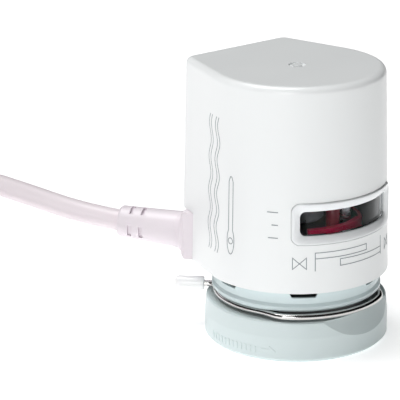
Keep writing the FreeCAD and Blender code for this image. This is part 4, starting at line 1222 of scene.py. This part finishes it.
# ------------------------------------------------------------------------ raised marks
@dataclass
class NutMarks:
    """A row of small raised ticks and a turn arrow on the coupling nut."""

    finishes: FinishSet
    radius: float
    height: float = 2.4
    first: float = -103.0
    last: float = -66.0
    count: int = 12
    size: tuple[float, float, float] = (0.45, 0.5, 1.5)
    sink: float = 0.12
    arrow_lifts: tuple[float, float] = (-0.35, 0.11)

    def tree(self) -> bpy.types.NodeTree:
        """Builds the nodes that lay ticks along an arc.

        Returns:
            The geometry node tree.
        """
        tree = bpy.data.node_groups.new("tick_row", "GeometryNodeTree")
        for label, kind in (
            ("Geometry", "NodeSocketGeometry"),
            ("Count", "NodeSocketInt"),
            ("Radius", "NodeSocketFloat"),
            ("First Turn", "NodeSocketFloat"),
            ("Turn Step", "NodeSocketFloat"),
            ("Height", "NodeSocketFloat"),
            ("Tick Size", "NodeSocketVector"),
            ("Finish", "NodeSocketMaterial"),
        ):
            tree.interface.new_socket(name=label, in_out="INPUT", socket_type=kind)
        tree.interface.new_socket(name="Geometry", in_out="OUTPUT", socket_type="NodeSocketGeometry")
        nodes, links = tree.nodes, tree.links
        source = nodes.new("NodeGroupInput")
        result = nodes.new("NodeGroupOutput")
        points = nodes.new("GeometryNodePoints")
        index = nodes.new("GeometryNodeInputIndex")
        turn = self.maths(tree, "MULTIPLY", index.outputs[0], source.outputs["Turn Step"])
        turn = self.maths(tree, "ADD", turn, source.outputs["First Turn"])
        across = self.maths(tree, "SINE", turn)
        toward = self.maths(tree, "COSINE", turn)
        x = self.maths(tree, "MULTIPLY", across, source.outputs["Radius"])
        y = self.maths(tree, "MULTIPLY", toward, source.outputs["Radius"])
        y = self.maths(tree, "MULTIPLY", y, -1.0)
        place = nodes.new("ShaderNodeCombineXYZ")
        links.new(x, place.inputs["X"])
        links.new(y, place.inputs["Y"])
        links.new(source.outputs["Height"], place.inputs["Z"])
        spin = nodes.new("ShaderNodeCombineXYZ")
        links.new(turn, spin.inputs["Z"])
        euler = nodes.new("FunctionNodeEulerToRotation")
        links.new(spin.outputs[0], euler.inputs[0])
        cube = nodes.new("GeometryNodeMeshCube")
        links.new(source.outputs["Tick Size"], cube.inputs["Size"])
        links.new(source.outputs["Count"], points.inputs["Count"])
        links.new(place.outputs[0], points.inputs["Position"])
        laid = nodes.new("GeometryNodeInstanceOnPoints")
        links.new(points.outputs[0], laid.inputs["Points"])
        links.new(cube.outputs["Mesh"], laid.inputs["Instance"])
        links.new(euler.outputs[0], laid.inputs["Rotation"])
        real = nodes.new("GeometryNodeRealizeInstances")
        links.new(laid.outputs[0], real.inputs[0])
        dress = nodes.new("GeometryNodeSetMaterial")
        links.new(real.outputs[0], dress.inputs["Geometry"])
        links.new(source.outputs["Finish"], dress.inputs["Material"])
        links.new(dress.outputs[0], result.inputs["Geometry"])
        return tree

    def maths(
        self, tree: bpy.types.NodeTree, operation: str, first: object, second: object = None
    ) -> bpy.types.NodeSocket:
        """Adds one sum to a tree.

        Args:
            tree: The tree.
            operation: What the sum does.
            first: A socket or number.
            second: A socket or number, where the sum has two terms.

        Returns:
            The result's socket.
        """
        node = tree.nodes.new("ShaderNodeMath")
        node.operation = operation
        for place, value in enumerate((first, second)):
            if isinstance(value, bpy.types.NodeSocket):
                tree.links.new(value, node.inputs[place])
            elif value is not None:
                node.inputs[place].default_value = value
        return node.outputs[0]

    def build(self) -> None:
        """Makes the row of raised ticks."""
        mesh = bpy.data.meshes.new("tick_seed")
        seed = bpy.data.objects.new("tick_seed", mesh)
        bpy.context.scene.collection.objects.link(seed)
        modifier = seed.modifiers.new("ticks", "NODES")
        modifier.node_group = self.tree()
        values = {
            "Count": self.count,
            "Radius": (self.radius - self.sink) * MM,
            "First Turn": math.radians(self.first),
            "Turn Step": math.radians((self.last - self.first) / (self.count - 1)),
            "Height": self.height * MM,
            "Tick Size": [value * MM for value in self.size],
            "Finish": self.finishes["nut_plastic"],
        }
        for socket in modifier.node_group.interface.items_tree:
            if socket.item_type == "SOCKET" and socket.in_out == "INPUT" and socket.name in values:
                modifier[socket.identifier] = values[socket.name]
        bpy.context.view_layer.update()
        made = bpy.data.meshes.new_from_object(seed.evaluated_get(bpy.context.evaluated_depsgraph_get()))
        seed.modifiers.remove(modifier)
        bpy.data.objects.remove(seed)
        piece = finish_mesh("nut_ticks", made, self.finishes["nut_plastic"], Body.NUT, smooth=False)

    def build_arrow(self) -> None:
        """Makes the raised arrow that shows which way the nut turns."""
        shape = [(-62.0, 1.9), (-56.5, 1.9), (-56.5, 1.2), (-52.5, 2.4), (-56.5, 3.6), (-56.5, 2.9), (-62.0, 2.9)]
        rings = []
        for lift in self.arrow_lifts:
            ring = []
            for turn, height in shape:
                angle = math.radians(turn)
                reach = self.radius + lift
                ring.append(Vector((reach * math.sin(angle), -reach * math.cos(angle), height)) * MM)
            rings.append(ring)
        points, faces = loft(rings, False, True)
        piece = mesh_piece("nut_arrow", points, faces, self.finishes["nut_plastic"], Body.NUT, smooth=False)


# ---------------------------------------------------------------------------- the room
@dataclass(frozen=True)
class FloorFinish(Finish):
    """A pale floor that glows a little, as a lit table does."""

    glow: float = 0.55

    def dress(self, shader: bpy.types.ShaderNode) -> None:
        """Sets the floor's own values.

        Args:
            shader: The material's main shader.
        """
        shader.inputs["Emission Color"].default_value = (1.0, 1.0, 1.0, 1.0)
        shader.inputs["Emission Strength"].default_value = self.glow


@dataclass
class Studio:
    """The floor, the soft lights and the room that the gloss shows."""

    finishes: FinishSet
    half_floor: float = 6.0
    bright_side: tuple[float, float, float] = (-0.75, -0.6, 0.2)
    dark_level: float = 0.06
    bright_level: float = 0.6
    room_turn: tuple[float, float] = (-0.5, 0.7)
    floor_drop: float = 0.0001
    lamp_aim: tuple[float, float, float] = (0.0, 0.0, 0.03)

    def build(self) -> None:
        """Makes the floor, the lights and the room."""
        mesh = bpy.data.meshes.new("floor")
        reach = self.half_floor
        corners = [(-reach, -reach, 0), (reach, -reach, 0), (reach, reach, 0), (-reach, reach, 0)]
        mesh.from_pydata(corners, [], [(0, 1, 2, 3)])
        mesh.materials.append(self.finishes["floor"])
        floor = bpy.data.objects.new("floor", mesh)
        floor.location.z = -self.floor_drop
        bpy.context.scene.collection.objects.link(floor)
        self.build_room()
        self.lamp("key_light", (-0.95, -0.66, 0.34), 4.2, 0.5)
        self.lamp("top_light", (-0.2, 0.3, 1.3), 15.0, 0.8)
        bpy.context.scene.view_settings.view_transform = "Standard"

    def build_room(self) -> None:
        """Makes the room light: bright on one side and dark on the other."""
        world = bpy.data.worlds.new("studio_world")
        world.use_nodes = True
        nodes, links = world.node_tree.nodes, world.node_tree.links
        back = nodes["Background"]
        place = nodes.new("ShaderNodeTexCoord")
        toward = nodes.new("ShaderNodeVectorMath")
        toward.operation = "DOT_PRODUCT"
        toward.inputs[1].default_value = Vector(self.bright_side).normalized()
        level = nodes.new("ShaderNodeMapRange")
        level.inputs["From Min"].default_value = self.room_turn[0]
        level.inputs["From Max"].default_value = self.room_turn[1]
        level.inputs["To Min"].default_value = self.dark_level
        level.inputs["To Max"].default_value = self.bright_level
        links.new(place.outputs["Generated"], toward.inputs[0])
        links.new(toward.outputs["Value"], level.inputs["Value"])
        links.new(level.outputs["Result"], back.inputs["Strength"])
        bpy.context.scene.world = world

    def lamp(self, name: str, place: tuple[float, float, float], power: float, width: float) -> None:
        """Adds one soft square light that faces the head.

        Args:
            name: Name of the light.
            place: Where it stands, in metres.
            power: Its power in watts.
            width: The side of its square in metres.
        """
        data = bpy.data.lights.new(name, "AREA")
        data.energy = power
        data.size = width
        light = bpy.data.objects.new(name, data)
        aim = Vector(self.lamp_aim) - Vector(place)
        light.matrix_world = Matrix.Translation(place) @ aim.to_track_quat("-Z", "Y").to_matrix().to_4x4()
        bpy.context.scene.collection.objects.link(light)


def main() -> None:
    """Builds everything in order and reports each piece."""
    logging.basicConfig(level=logging.INFO, format="%(message)s")
    StudioCamera().build()
    finishes = FinishSet()
    finishes.build()
    LOG.info("cable: %.3f m long", SupplyCable(finishes).build())
    LOG.info("cad nodes dressed: %d", dress_cad_nodes(finishes))
    for name, slot, turns, wire in (
        ("closing_spring", "spring_steel", 4.5, 0.0008),
        ("contact_spring_left", "contact_metal", 6.5, 0.00018),
        ("contact_spring_right", "contact_metal", 6.5, 0.00018),
    ):
        CompressionSpring(name, slot, turns, finishes, wire).build()
        LOG.info("%s: wound", name)
    low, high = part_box("housing_shell")
    wall = HousingWall(radius=high.x / MM, bottom=low.z / MM)
    EngravedMarks(wall, finishes).build()
    LOG.info("engraved marks: made")
    WindowLens(finishes).build()
    LOG.info("window lens: made")
    marks = NutMarks(finishes, radius=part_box("coupling_nut")[1].x / MM)
    marks.build()
    marks.build_arrow()
    LOG.info("nut marks: made")
    Studio(finishes).build()


if __name__ == "__main__":
    main()
